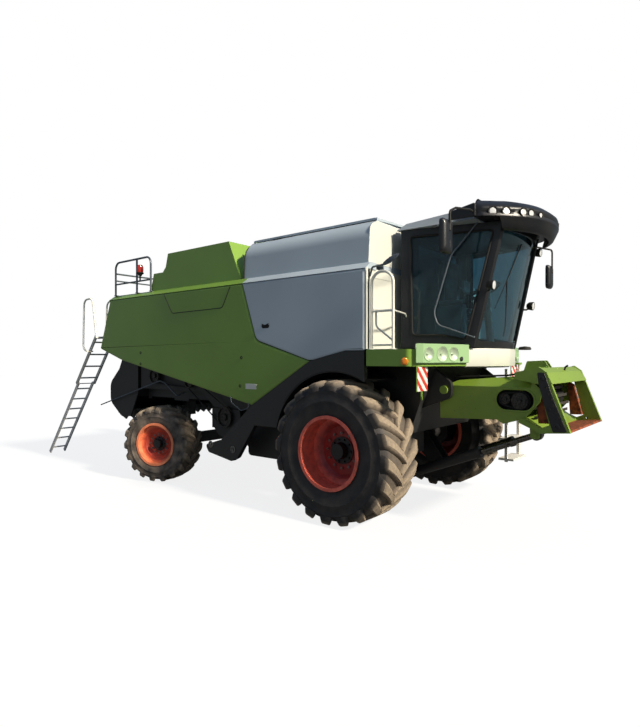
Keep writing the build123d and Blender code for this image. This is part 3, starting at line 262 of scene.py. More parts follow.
@dataclass(frozen=True)
class TyreRubber(Coat):
    """Vulcanised tyre rubber: near black on its flanks, with soil dried pale on the lugs."""

    hub: Hub
    soil: str = "#a09079"
    flank_dust_and_light: float = 0.12

    def dress(self, s: Surface) -> None:
        """Writes the shader."""
        top = s.add("MapRange", [self.hub.radius(s), self.hub.tread - 0.075, self.hub.tread - 0.01])
        patch = s.grain(0.07, 7)
        caked = s.add("Math", [top, s.add("MapRange", [patch, 0.12, 0.42])], operation="MULTIPLY")
        # the flanks' pale mix: dust, and where flank_dust_and_light is set high also a painted highlight
        flank = s.add("MapRange", [s.grain(0.16, 6), 0.3, 0.72, 0.0, self.flank_dust_and_light])
        rubber = s.add("Mix", {0: flank, 6: linear("#1c1d21"), 7: linear("#9a8b7c")}, data_type="RGBA")
        crumbs = s.add("MapRange", [s.grain(0.03, 5), 0.3, 0.7])
        pale = s.add("Mix", {0: crumbs, 6: linear(self.soil), 7: linear("#85776a")}, data_type="RGBA")
        clods = s.add("Math", [patch, 1.5, s.grain(0.004, 4)], operation="MULTIPLY_ADD")
        s.feed(Base_Color=s.add("Mix", {0: caked, 6: rubber, 7: pale}, data_type="RGBA"),
               Roughness=s.add("MapRange", [caked, 0, 1, 0.62, 0.93]),
               Normal=s.add("Bump", {"Height": clods, "Distance": 0.0022}))


@dataclass(frozen=True)
class WheelEnamel(Coat):
    """Red wheel enamel: a lighter red at the rim and a darker red in the dish, which are a painted highlight
    and painted shade, with greasy patches and a black cast hub.
    """

    hub: Hub
    rim: str
    shaded_dish: str

    def dress(self, s: Surface) -> None:
        """Writes the shader."""
        radius = self.hub.radius(s)
        # painted highlight and shade: the darker dish red inwards, the lighter rim red outwards
        outwards = s.add("MapRange", [radius, self.hub.flange * 0.72, self.hub.flange * 0.9])
        paint = s.add("Mix", {0: outwards, 6: linear(self.shaded_dish), 7: linear(self.rim)}, data_type="RGBA")
        grime = s.add("MapRange", [s.grain(0.08, 7), 0.42, 0.75, 0.0, 0.4])
        paint = s.add("Mix", {0: grime, 6: paint, 7: linear("#2a1512")}, data_type="RGBA")
        black = s.add("MapRange", [radius, self.hub.hub + 0.004, self.hub.hub - 0.004])
        s.feed(Base_Color=s.add("Mix", {0: black, 6: paint, 7: linear("#17171a")}, data_type="RGBA"),
               Roughness=s.add("MapRange", [grime, 0, 0.5, 0.38, 0.75]), Coat_Weight=0.15, Coat_Roughness=0.2,
               Normal=s.add("Bump", {"Height": s.grain(0.02, 5), "Distance": 0.0008}))


@dataclass(frozen=True)
class TintedGlass(Coat):
    """Blue-grey tinted safety glass, wiped but not clean, so dust dulls its shine in patches."""

    colour: str = "#8cb4c2"

    def dress(self, s: Surface) -> None:
        """Writes the shader."""
        film = s.add("MapRange", [s.grain(0.6, 2, stretch=(1, 1, 2)), 0.4, 0.8])
        dust = s.add("Math", [film, 0.2], operation="MULTIPLY")
        colours = {0: dust, 6: linear(self.colour), 7: linear("#9ab0ae")}
        s.feed(Base_Color=s.add("Mix", colours, data_type="RGBA"),
               Roughness=s.add("MapRange", [film, 0, 1, 0.0, 0.03]), Transmission_Weight=0.97, IOR=1.45)


@dataclass(frozen=True)
class BareMetal(Coat):
    """Bare or plated metal, drawn or rolled, with a little tarnish."""

    colour: str
    tarnish: str
    rough: float = 0.3
    grain: float = 0.02
    metal: float = 1.0

    def dress(self, s: Surface) -> None:
        """Writes the shader."""
        spots = s.add("MapRange", [s.grain(self.grain, 6), 0.45, 0.72])
        colours = {0: spots, 6: linear(self.colour), 7: linear(self.tarnish)}
        s.feed(Base_Color=s.add("Mix", colours, data_type="RGBA"), Metallic=self.metal,
               Roughness=s.add("MapRange", [spots, 0, 1, self.rough, min(1.0, self.rough + 0.35)]),
               Normal=s.add("Bump", {"Height": s.grain(self.grain * 0.3, 4), "Distance": 0.0003}))


@dataclass(frozen=True)
class Rust(Coat):
    """Steel that crop has polished and rain has rusted: orange bloom over brown scale."""

    bright: str = "#a5532b"
    dark: str = "#54301f"

    def dress(self, s: Surface) -> None:
        """Writes the shader."""
        bloom = s.add("MapRange", [s.grain(0.06, 8), 0.35, 0.65])
        colours = {0: bloom, 6: linear(self.dark), 7: linear(self.bright)}
        s.feed(Base_Color=s.add("Mix", colours, data_type="RGBA"), Metallic=0.15, Roughness=0.82,
               Normal=s.add("Bump", {"Height": s.grain(0.012, 6), "Distance": 0.001}))


@dataclass(frozen=True)
class Moulded(Coat):
    """Moulded plastic or rubber with a fine leather grain."""

    colour: str
    rough: float = 0.6
    grain: float = 0.004
    dust: float = 0.12

    def dress(self, s: Surface) -> None:
        """Writes the shader."""
        dust = s.add("MapRange", [s.grain(0.3, 6), 0.4, 0.8, 0.0, self.dust])
        colours = {0: dust, 6: linear(self.colour), 7: linear(DUST)}
        s.feed(Base_Color=s.add("Mix", colours, data_type="RGBA"), Roughness=self.rough,
               Normal=s.add("Bump", {"Height": s.grain(self.grain, 3), "Distance": 0.0004}))


@dataclass(frozen=True)
class Woven(Coat):
    """Woven seat cloth: crossed threads, drawn at 6 mm because the true 1 mm would not show."""

    colour: str
    second: str
    thread: float = 0.006

    def dress(self, s: Surface) -> None:
        """Writes the shader."""
        turns = math.tau / self.thread / 20
        waves = [s.add("TexWave", {"Vector": s.place, "Scale": turns / 3},
                       bands_direction=axis).outputs["Fac"] for axis in ("Y", "Z")]
        weave = s.add("Math", waves, operation="MULTIPLY")
        raised = s.add("MapRange", [weave, 0.1, 0.6])
        colours = {0: raised, 6: linear(self.colour), 7: linear(self.second)}
        s.feed(Base_Color=s.add("Mix", colours, data_type="RGBA"), Roughness=0.9, Sheen_Weight=0.3,
               Normal=s.add("Bump", {"Height": weave, "Distance": 0.0012}))


@dataclass(frozen=True)
class Lens(Coat):
    """A pressed lamp lens over its reflector: bright, ribbed and lightly coloured."""

    colour: str
    ribs: float = 0.012
    tint: str = "#ffffff"

    def dress(self, s: Surface) -> None:
        """Writes the shader."""
        ribs = s.add("TexWave", {"Vector": s.place, "Scale": 1 / self.ribs / 3.2},
                     bands_direction="Z").outputs["Fac"]
        colours = {0: ribs, 6: linear(self.colour), 7: linear(self.tint)}
        s.feed(Base_Color=s.add("Mix", colours, data_type="RGBA"), Roughness=0.12, Metallic=0.25,
               Coat_Weight=1.0, Coat_Roughness=0.03,
               Normal=s.add("Bump", {"Height": ribs, "Distance": 0.0015}))


@dataclass(frozen=True)
class WarningStripes(Coat):
    """Reflective sheeting with slanted red and white bars."""

    pitch: float = 0.14

    def dress(self, s: Surface) -> None:
        """Writes the shader."""
        bars = s.add("VectorMath", [s.place, [1 / self.pitch] * 3], operation="DOT_PRODUCT")
        white = s.add("Math", [s.add("Math", [bars], operation="FRACT"), 0.5], operation="GREATER_THAN")
        colour = s.add("Mix", {0: white, 6: linear("#c32a22"), 7: linear("#ece6e2")}, data_type="RGBA")
        film = s.add("Math", [s.grain(0.05, 5), 0.18], operation="MULTIPLY")
        s.feed(Base_Color=s.add("Mix", {0: film, 6: colour, 7: linear(DUST)}, data_type="RGBA"),
               Roughness=0.35, Normal=s.add("Bump", {"Height": s.grain(0.003, 2), "Distance": 0.0002}))


@dataclass(frozen=True)
class PaintedTube(Coat):
    """Steel tube that is painted where a hand holds it and plain zinc or aluminium in between."""

    bare: str
    axis: str
    middle: float
    reach: float
    paint: str = "#f0efe4"

    def dress(self, s: Surface) -> None:
        """Writes the shader."""
        along = s.add("SeparateXYZ", [s.place]).outputs[self.axis]
        bare = s.add("Math", [along, self.middle, self.reach], operation="COMPARE")
        spots = s.add("MapRange", [s.grain(0.02, 5), 0.4, 0.75])
        metal = s.add("Mix", {0: spots, 6: linear(self.bare), 7: linear("#5f656b")}, data_type="RGBA")
        dust = s.add("Math", [spots, 0.12], operation="MULTIPLY")
        enamel = s.add("Mix", {0: dust, 6: linear(self.paint), 7: linear(DUST)}, data_type="RGBA")
        s.feed(Base_Color=s.add("Mix", {0: bare, 6: enamel, 7: metal}, data_type="RGBA"),
               Metallic=s.add("Math", [bare, 0.6], operation="MULTIPLY"),
               Roughness=s.add("MapRange", [spots, 0, 1, 0.34, 0.55]),
               Normal=s.add("Bump", {"Height": s.grain(0.008, 3), "Distance": 0.0003}))


RAILS = PaintedTube("rail_tube", "#6c747c", "X", -2.0, 2.6)
LADDER = PaintedTube("ladder_rail", "#e2e0d9", "Y", -1.41, 0.205)


class Finish(Enum):
    """Every finish that isn't tied to one wheel."""

    GREEN = Enamel("lime_enamel", "#7ca23c")
    # Painted highlight: a lighter copy of the lime green, so that the engine hood and auger tube look sunlit.
    GREEN_LIT = Enamel("lime_enamel_painted_lit", "#86ac46", dust=0.05)
    GREEN_PALE = Enamel("pale_green_enamel", "#9cc08c", dust=0.05)
    SILVER = Enamel("silver_grey_enamel", "#bac7d1", gloss=0.28, dust=0.05)
    WHITE = Enamel("white_enamel", "#dedfd6", dust=0.05)
    ROOF = Enamel("roof_enamel", "#8f979d", dust=0.12)
    BLACK = Enamel("black_enamel", "#14161b", gloss=0.36, dust=0.03)
    CHASSIS = Enamel("chassis_black", "#121214", gloss=0.55, dust=0.10)
    GREEN_WORN = Enamel("worn_green_enamel", "#82a034", gloss=0.42, dust=0.12, chips=1.0)
    RUST = Rust("rusted_steel")
    CHROME = BareMetal("hard_chrome", "#77736d", "#3f3a34", 0.22)
    STEEL = BareMetal("dull_steel", "#8b8a88", "#5d564f", 0.42)
    DARK_STEEL = BareMetal("oiled_steel", "#4a4845", "#26231f", 0.45, metal=0.8)
    ALUMINIUM = BareMetal("drawn_aluminium", "#eceae4", "#c4c2bc", 0.45, metal=0.1)
    GALVANISED = BareMetal("galvanised_tube", "#6c747c", "#59616a", 0.5, metal=0.5)
    GLASS = TintedGlass("tinted_safety_glass")
    CAB_PLASTIC = Moulded("grained_cab_plastic", "#74797d")
    SEAL = Moulded("rubber_seal", "#0c0c0d", 0.7, 0.003, 0.03)
    HOOD = Moulded("black_moulded_visor", "#15171c", 0.36, 0.005, 0.04)
    CLOTH = Woven("seat_cloth", "#4a5058", "#6a727b")
    LAMP = Lens("clear_lamp_lens", "#f2f4f4")
    AMBER = Lens("amber_lens", "#e2700c", tint="#f0951e")
    RED = Lens("red_lens", "#b0241c", tint="#cc3a2c")
    MIRROR = BareMetal("mirror_glass", "#c6ccd2", "#b6bcc2", 0.03, 0.3)
    REFLECTOR = BareMetal("lamp_reflector", "#c6d6bc", "#9fb295", 0.3, 0.05, 0.4)
    BOARD = WarningStripes("warning_stripes")

    @property
    def material(self) -> bpy.types.Material:
        """The material, made when it is first asked for."""
        return bpy.data.materials.get(self.value.name) or self.value.make()


def material_of(finish: Finish | bpy.types.Material) -> bpy.types.Material:
    """The material of a finish, or the material itself."""
    return finish.material if isinstance(finish, Finish) else finish


# ---- shapes
class Lay(Enum):
    """How a flat outline (u, v) and its depth w are put in space."""

    SIDE = "xz"
    CROSS = "yz"
    PLAN = "xy"

    def point(self, u: float, v: float, w: float) -> Vector:
        """Returns the point in space."""
        if self is Lay.SIDE:
            return Vector((u, w, v))
        if self is Lay.CROSS:
            return Vector((w, u, v))
        return Vector((u, v, w))


def rounded(corners: Sequence[Point], steps: int = 5, closed: bool = True, size: int = 2) -> list[Vector]:
    """Rounds the corners that carry a radius.

    Args:
        corners: Points, each with one number more than its coordinates where it is rounded off.
        steps: Straight pieces in each rounded corner.
        closed: Whether the last point joins the first.
        size: How many coordinates a point has.

    Returns:
        The finished line of points.
    """
    line: list[Vector] = []
    count = len(corners)
    for k, corner in enumerate(corners):
        at = Vector(corner[:size])
        inner = closed or 0 < k < count - 1
        if len(corner) <= size or not inner:
            line.append(at)
            continue
        before = (Vector(corners[k - 1][:size]) - at)
        after = (Vector(corners[(k + 1) % count][:size]) - at)
        half = before.angle(after) / 2
        reach = min(corner[size] / math.tan(half), before.length * 0.49, after.length * 0.49)
        start, end = at + before.normalized() * reach, at + after.normalized() * reach
        for step in range(steps + 1):
            t = step / steps
            line.append(start.lerp(at, t).lerp(at.lerp(end, t), t))
    return line


class Form:
    """A mesh while it is built up from closed shells."""

    def __init__(self) -> None:
        """Starts with nothing."""
        self.bm = bmesh.new()

    def loft(self, rings: Sequence[Sequence[Vector]], ends: bool = True, loop: bool = False) -> Form:
        """Skins a row of rings that have the same number of points.

        Args:
            rings: The rings, in order.
            ends: Whether the first and last ring are filled.
            loop: Whether the last ring joins the first.

        Returns:
            This form.
        """
        rows = [[self.bm.verts.new(p) for p in ring] for ring in rings]
        pairs = list(zip(rows, rows[1:])) + ([(rows[-1], rows[0])] if loop else [])
        for first, second in pairs:
            for k in range(len(first)):
                self.bm.faces.new((first[k - 1], first[k], second[k], second[k - 1]))
        if ends and not loop:
            self.bm.faces.new(rows[0][::-1])
            self.bm.faces.new(rows[-1])
        return self

    def prism(self, lay: Lay, corners: Sequence[Point], low: float, high: float, edge: float = 0.0) -> Form:
        """A flat plate, with its outer rims chamfered by edge."""
        line = rounded(corners)
        if not edge:
            return self.loft([[lay.point(*p, w) for p in line] for w in (low, high)])
        inner = inset(line, edge)
        return self.loft([[lay.point(*p, low) for p in inner], [lay.point(*p, low + edge) for p in line],
                          [lay.point(*p, high - edge) for p in line], [lay.point(*p, high) for p in inner]])

    def box(self, x: Point, y: Point, z: Point, edge: float = 0.004) -> Form:
        """A block between (low, high) pairs, with chamfered upright edges and rims."""
        cut = min(edge, (x[1] - x[0]) * 0.3, (y[1] - y[0]) * 0.3, (z[1] - z[0]) * 0.3)
        ring = [(x[0] + cut, y[0]), (x[1] - cut, y[0]), (x[1], y[0] + cut), (x[1], y[1] - cut),
                (x[1] - cut, y[1]), (x[0] + cut, y[1]), (x[0], y[1] - cut), (x[0], y[0] + cut)]
        return self.prism(Lay.PLAN, ring, z[0], z[1], cut * 0.99)

    def tube(self, corners: Sequence[Point], radius: float, sides: int = 12, flat: float = 1.0) -> Form:
        """A bent tube along a line whose corners may carry bend radii.

        Args:
            corners: (x, y, z) or (x, y, z, bend radius) points.
            radius: Outer radius of the tube.
            sides: Facets round the tube.
            flat: Height of the section against its width.

        Returns:
            This form.
        """
        line = rounded(corners, 6, closed=False, size=3)
        rings = []
        side = None
        for k, at in enumerate(line):
            ahead = (line[min(k + 1, len(line) - 1)] - line[max(k - 1, 0)]).normalized()
            guess = side or (Vector((0, 0, 1)) if abs(ahead.z) < 0.9 else Vector((1, 0, 0)))
            side = (guess - ahead * guess.dot(ahead)).normalized()
            other = ahead.cross(side)
            rings.append([at + radius * (side * math.cos(a) * flat + other * math.sin(a))
                          for a in about(sides)])
        return self.loft(rings)

    def turned(self, profile: Sequence[Point], at: Point, axis: Point, steps: int = 32) -> Form:
        """A solid or ring turned from (radius, height) points about an axis.

        Args:
            profile: The half section. Where its first and last points lie on the axis it is a solid, and
                otherwise a ring.
            at: Where height 0 is.
            axis: The direction that height grows in.
            steps: Facets round it.

        Returns:
            This form.
        """
        up = Vector(axis).normalized()
        side = up.orthogonal().normalized()
        other = up.cross(side)
        solid = profile[0][0] == 0 and profile[-1][0] == 0
        inner = profile[1:-1] if solid else profile
        rings = [[Vector(at) + up * h + r * (side * math.cos(a) + other * math.sin(a)) for a in about(steps)]
                 for r, h in inner]
        if not solid:
            return self.loft(rings, loop=True)
        rows = [[self.bm.verts.new(p) for p in ring] for ring in rings]
        for first, second in zip(rows, rows[1:]):
            for k in range(steps):
                self.bm.faces.new((first[k - 1], first[k], second[k], second[k - 1]))
        for row, (_, height) in ((rows[0], profile[0]), (rows[-1], profile[-1])):
            pole = self.bm.verts.new(Vector(at) + up * height)
            for k in range(steps):
                self.bm.faces.new((row[k - 1], row[k], pole))
        return self

    def mirrored(self) -> Form:
        """Adds the same again on the machine's other side."""
        twin = bmesh.ops.duplicate(self.bm, geom=self.bm.verts[:] + self.bm.edges[:] + self.bm.faces[:])
        for item in twin["geom"]:
            if isinstance(item, bmesh.types.BMVert):
                item.co.y = -item.co.y
        return self

    def moved(self, matrix: Matrix) -> Form:
        """Moves everything made so far."""
        bmesh.ops.transform(self.bm, matrix=matrix, verts=self.bm.verts[:])
        return self

    def mesh(self, name: str, smooth: float = 32.0) -> bpy.types.Mesh:
        """Closes the form into a mesh.

        Args:
            name: The mesh's name.
            smooth: Faces that meet at less than this many degrees are shaded as one.

        Returns:
            The mesh, with its faces pointing outwards.
        """
        bmesh.ops.recalc_face_normals(self.bm, faces=self.bm.faces[:])
        data = bpy.data.meshes.new(name)
        self.bm.to_mesh(data)
        self.bm.free()
        data.shade_smooth()
        data.set_sharp_from_angle(angle=math.radians(smooth))
        return data


def inset(line: Sequence[Vector], by: float | Sequence[float]) -> list[Vector]:
    """Pulls a closed flat outline inwards.

    Args:
        line: The corners.
        by: One distance for all edges, or one for each edge, where edge k runs from corner k to the next.

    Returns:
        The corners of the smaller outline.
    """
    count = len(line)
    area = sum(line[k - 1].x * line[k].y - line[k].x * line[k - 1].y for k in range(count))
    hand = 1.0 if area > 0 else -1.0
    steps = [by] * count if isinstance(by, (int, float)) else list(by)
    out = []
    for k in range(count):
        a, b, c = line[k - 1], line[k], line[(k + 1) % count]
        into, leave = (b - a).normalized(), (c - b).normalized()
        n1, n2 = Vector((-into.y, into.x)) * hand, Vector((-leave.y, leave.x)) * hand
        d1, d2 = steps[k - 1], steps[k]
        turn = n1.x * n2.y - n1.y * n2.x
        if abs(turn) < 1e-4:
            out.append(b + n1 * (d1 + d2) / 2)
            continue
        out.append(b + Vector((d1 * n2.y - d2 * n1.y, d2 * n1.x - d1 * n2.x)) / turn)
    return out


# ---- repeats by Geometry Nodes
class Repeat(Enum):
    """The three ways in which small pieces repeat."""

    RING = "ring_of_copies"
    ROW = "row_of_copies"
    BOLTS = "bolts_on_points"


class Repeats:
    """Builds the repeat trees once and grows meshes with them."""

    def __init__(self) -> None:
        """Starts with no tree."""
        self.trees: dict[Repeat, bpy.types.NodeTree] = {}

    def tree(self, kind: Repeat) -> bpy.types.NodeTree:
        """The tree of that kind, written when it is first needed."""
        if kind not in self.trees:
            tree = bpy.data.node_groups.new(kind.value, "GeometryNodeTree")
            tree.interface.new_socket("Geometry", in_out="OUTPUT", socket_type="NodeSocketGeometry")
            write = {Repeat.RING: self.ring, Repeat.ROW: self.row, Repeat.BOLTS: self.bolts}[kind]
            write(tree)
            self.trees[kind] = tree
        return self.trees[kind]

    @staticmethod
    def inputs(tree: bpy.types.NodeTree, **kinds: str) -> dict[str, bpy.types.NodeSocket]:
        """Declares named inputs and returns their sockets."""
        for name, kind in kinds.items():
            tree.interface.new_socket(name, in_out="INPUT", socket_type="NodeSocket" + kind)
        group = add(tree, "NodeGroupInput")
        return {name: group.outputs[name] for name in kinds}

    @staticmethod
    def close(tree: bpy.types.NodeTree, use: dict[str, bpy.types.NodeSocket], points: object, part: object,
              **turn: bpy.types.Node) -> None:
        """Sets a part on each point, makes the copies real, gives them their finish and ends the tree."""
        copies = add(tree, "GeometryNodeInstanceOnPoints", {"Points": points, "Instance": part, **turn})
        real = add(tree, "GeometryNodeRealizeInstances", [copies])
        painted = add(tree, "GeometryNodeSetMaterial", {"Geometry": real, "Material": use["Finish"]})
        add(tree, "NodeGroupOutput", {"Geometry": painted})

    def ring(self, tree: bpy.types.NodeTree) -> None:
        """Copies of a source, evenly round the Y axis."""
        use = self.inputs(tree, Source="Object", Count="Int", Phase="Float", Finish="Material")
        points = add(tree, "GeometryNodeMeshLine", {"Count": use["Count"], "Offset": (0.0, 0.0, 0.0)})
        index = add(tree, "GeometryNodeInputIndex")
        place = add(tree, "ShaderNodeMath", [index, use["Phase"]], operation="ADD")
        share = add(tree, "ShaderNodeMath", [place, use["Count"]], operation="DIVIDE")
        angle = add(tree, "ShaderNodeMath", [share, math.tau], operation="MULTIPLY")
        spin = add(tree, "FunctionNodeAxisAngleToRotation", {"Axis": (0.0, 1.0, 0.0), "Angle": angle})
        source = add(tree, "GeometryNodeObjectInfo", {"Object": use["Source"]})
        self.close(tree, use, points, source.outputs["Geometry"], Rotation=spin)

    def row(self, tree: bpy.types.NodeTree) -> None:
        """Copies of a source, one step apart."""
        use = self.inputs(tree, Source="Object", Count="Int", Step="Vector", Finish="Material")
        points = add(tree, "GeometryNodeMeshLine", {"Count": use["Count"], "Offset": use["Step"]})
        source = add(tree, "GeometryNodeObjectInfo", {"Object": use["Source"]})
        self.close(tree, use, points, source.outputs["Geometry"])

    def bolts(self, tree: bpy.types.NodeTree) -> None:
        """A hexagon head on a washer at each point, facing one way."""
        use = self.inputs(tree, Points="Geometry", Head="Float", Facing="Vector", Finish="Material")
        width = add(tree, "ShaderNodeMath", [use["Head"], 1.55], operation="MULTIPLY")
        thin = add(tree, "ShaderNodeMath", [use["Head"], 0.4], operation="MULTIPLY")
        head = add(tree, "GeometryNodeMeshCylinder", {"Vertices": 6, "Radius": use["Head"], "Depth": width})
        washer = add(tree, "GeometryNodeMeshCylinder", {"Vertices": 14, "Radius": width, "Depth": thin})
        both = add(tree, "GeometryNodeJoinGeometry")
        for part in (head, washer):
            feed(tree, both.inputs[0], part)
        turn = add(tree, "FunctionNodeAlignRotationToVector", {"Vector": use["Facing"]}, axis="Z")
        self.close(tree, use, use["Points"], both, Rotation=turn)

    def grow(self, kind: Repeat, base: bpy.types.Mesh, **values: object) -> bpy.types.Mesh:
        """Runs a tree on a mesh and returns the plain result.

        Args:
            kind: Which tree.
            base: The mesh that the modifier sits on.
            values: The tree's inputs by name.

        Returns:
            A new mesh with nothing live on it.
        """
        host = placed("growing", base)
        modifier = host.modifiers.new("copies", "NODES")
        modifier.node_group = self.tree(kind)
        named = {item.name: item.identifier for item in modifier.node_group.interface.items_tree
                 if item.in_out == "INPUT"}
        for name, value in values.items():
            modifier[named[name]] = value
        host.update_tag()
        bpy.context.view_layer.update()
        data = settled(host)
        bpy.data.objects.remove(host)
        return data


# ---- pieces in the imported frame
SLOTS = {
    "body_green": (Finish.GREEN, Finish.GREEN_LIT, Finish.GREEN_PALE, Finish.GREEN_WORN),
    "body_silver": (Finish.SILVER, Finish.ROOF),
    "rail_white": (Finish.WHITE, Finish.BOARD),
    "chassis_black": (Finish.BLACK, Finish.CHASSIS, Finish.SEAL, Finish.STEEL, Finish.DARK_STEEL,
                      Finish.GALVANISED),
    "rust_steel": (Finish.RUST,),
    "rod_chrome": (Finish.CHROME, Finish.MIRROR, Finish.REFLECTOR),
    "ladder_aluminium": (Finish.ALUMINIUM,),
    "tinted_glass": (Finish.GLASS,),
    "lamp_glass": (Finish.LAMP, Finish.AMBER, Finish.RED),
    "seat_fabric": (Finish.CLOTH,),
    "cab_plastic": (Finish.CAB_PLASTIC, Finish.HOOD),
}


class Workshop:
    """Turns finished forms into pieces of the machine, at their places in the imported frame."""

    def __init__(self, frame: dict) -> None:
        """Finds the front axle, which the sizes below are measured from."""
        self.nodes = frame["nodes"]
        self.repeats = Repeats()
        low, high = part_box("front_tyre_right")
        self.shift = Vector(((low.x + high.x) / 2, 0.0, 0.0))
        self.count = 0

    def piece(self, name: str, shape: Form | bpy.types.Mesh, finish: Finish | bpy.types.Material,
              body: str = "chassis", replaces: Sequence[str] = (), smooth: float = 32.0,
              slot: str = "") -> bpy.types.Object:
        """Puts a shape in its place as one piece.

        Args:
            name: The piece's name.
            shape: Its form or mesh, in metres from the front axle.
            finish: What it is coated with or made of.
            body: The moving body that it rides on.
            replaces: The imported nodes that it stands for.
            smooth: Faces that meet at less than this many degrees are shaded as one.
            slot: The record's material slot, where the finish is a material of its own.

        Returns:
            The piece.
        """
        data = shape.mesh(name, smooth) if isinstance(shape, Form) else shape
        data.transform(Matrix.Translation(self.shift))
        data.materials.clear()
        data.materials.append(material_of(finish))
        piece = placed(name, data)
        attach(piece, body)
        if replaces:
            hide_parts(*replaces)
        slot or next(key for key, held in SLOTS.items() if finish in held)
        self.count += 1
        LOG.info("piece %s on %s", name, body)
        return piece

    def paint(self, finish: Finish | bpy.types.Material, *names: str) -> None:
        """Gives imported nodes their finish."""
        for name in names:
            for slot in self.nodes[name].material_slots:
                slot.material = material_of(finish)

    def grown(self, kind: Repeat, shape: Form, finish: Finish | bpy.types.Material,
              **values: object) -> bpy.types.Mesh:
        """Repeats a form by Geometry Nodes.

        Args:
            kind: How it repeats.
            shape: One copy.
            finish: What the copies are made of.
            values: The tree's other inputs.

        Returns:
            All the copies as one mesh.
        """
        source = placed("one_copy", shape.mesh("one_copy"))
        data = self.repeats.grow(kind, bpy.data.meshes.new("host"), Source=source, Finish=material_of(finish),
                                 **values)
        bpy.data.objects.remove(source)
        return data

    @staticmethod
    def carved(whole: Form, cutters: Form) -> bpy.types.Mesh:
        """Takes one form out of another.

        Args:
            whole: What is carved.
            cutters: What is taken away.

        Returns:
            The mesh that is left.
        """
        solid, tool = placed("whole", whole.mesh("whole")), placed("cutters", cutters.mesh("cutters"))
        cut = solid.modifiers.new("cut", "BOOLEAN")
        cut.operation, cut.solver, cut.object = "DIFFERENCE", "EXACT", tool
        bpy.context.view_layer.update()
        data = settled(solid)
        for item in (solid, tool):
            bpy.data.objects.remove(item)
        data.set_sharp_from_angle(angle=math.radians(32))
        return data

    def bolts(self, points: Iterable[Point], facing: Point, finish: Finish,
              head: float = 0.011) -> bpy.types.Mesh:
        """A set of hexagon bolts on washers.

        Args:
            points: Where the washers rest.
            facing: The way the heads point.
            finish: What they are made of.
            head: Radius of a head over its corners.

        Returns:
            The bolts as one mesh.
        """
        base = bpy.data.meshes.new("bolt_points")
        base.from_pydata([tuple(p) for p in points], [], [])
        return self.repeats.grow(Repeat.BOLTS, base, Head=head, Facing=tuple(map(float, facing)),
                                 Finish=finish.material)


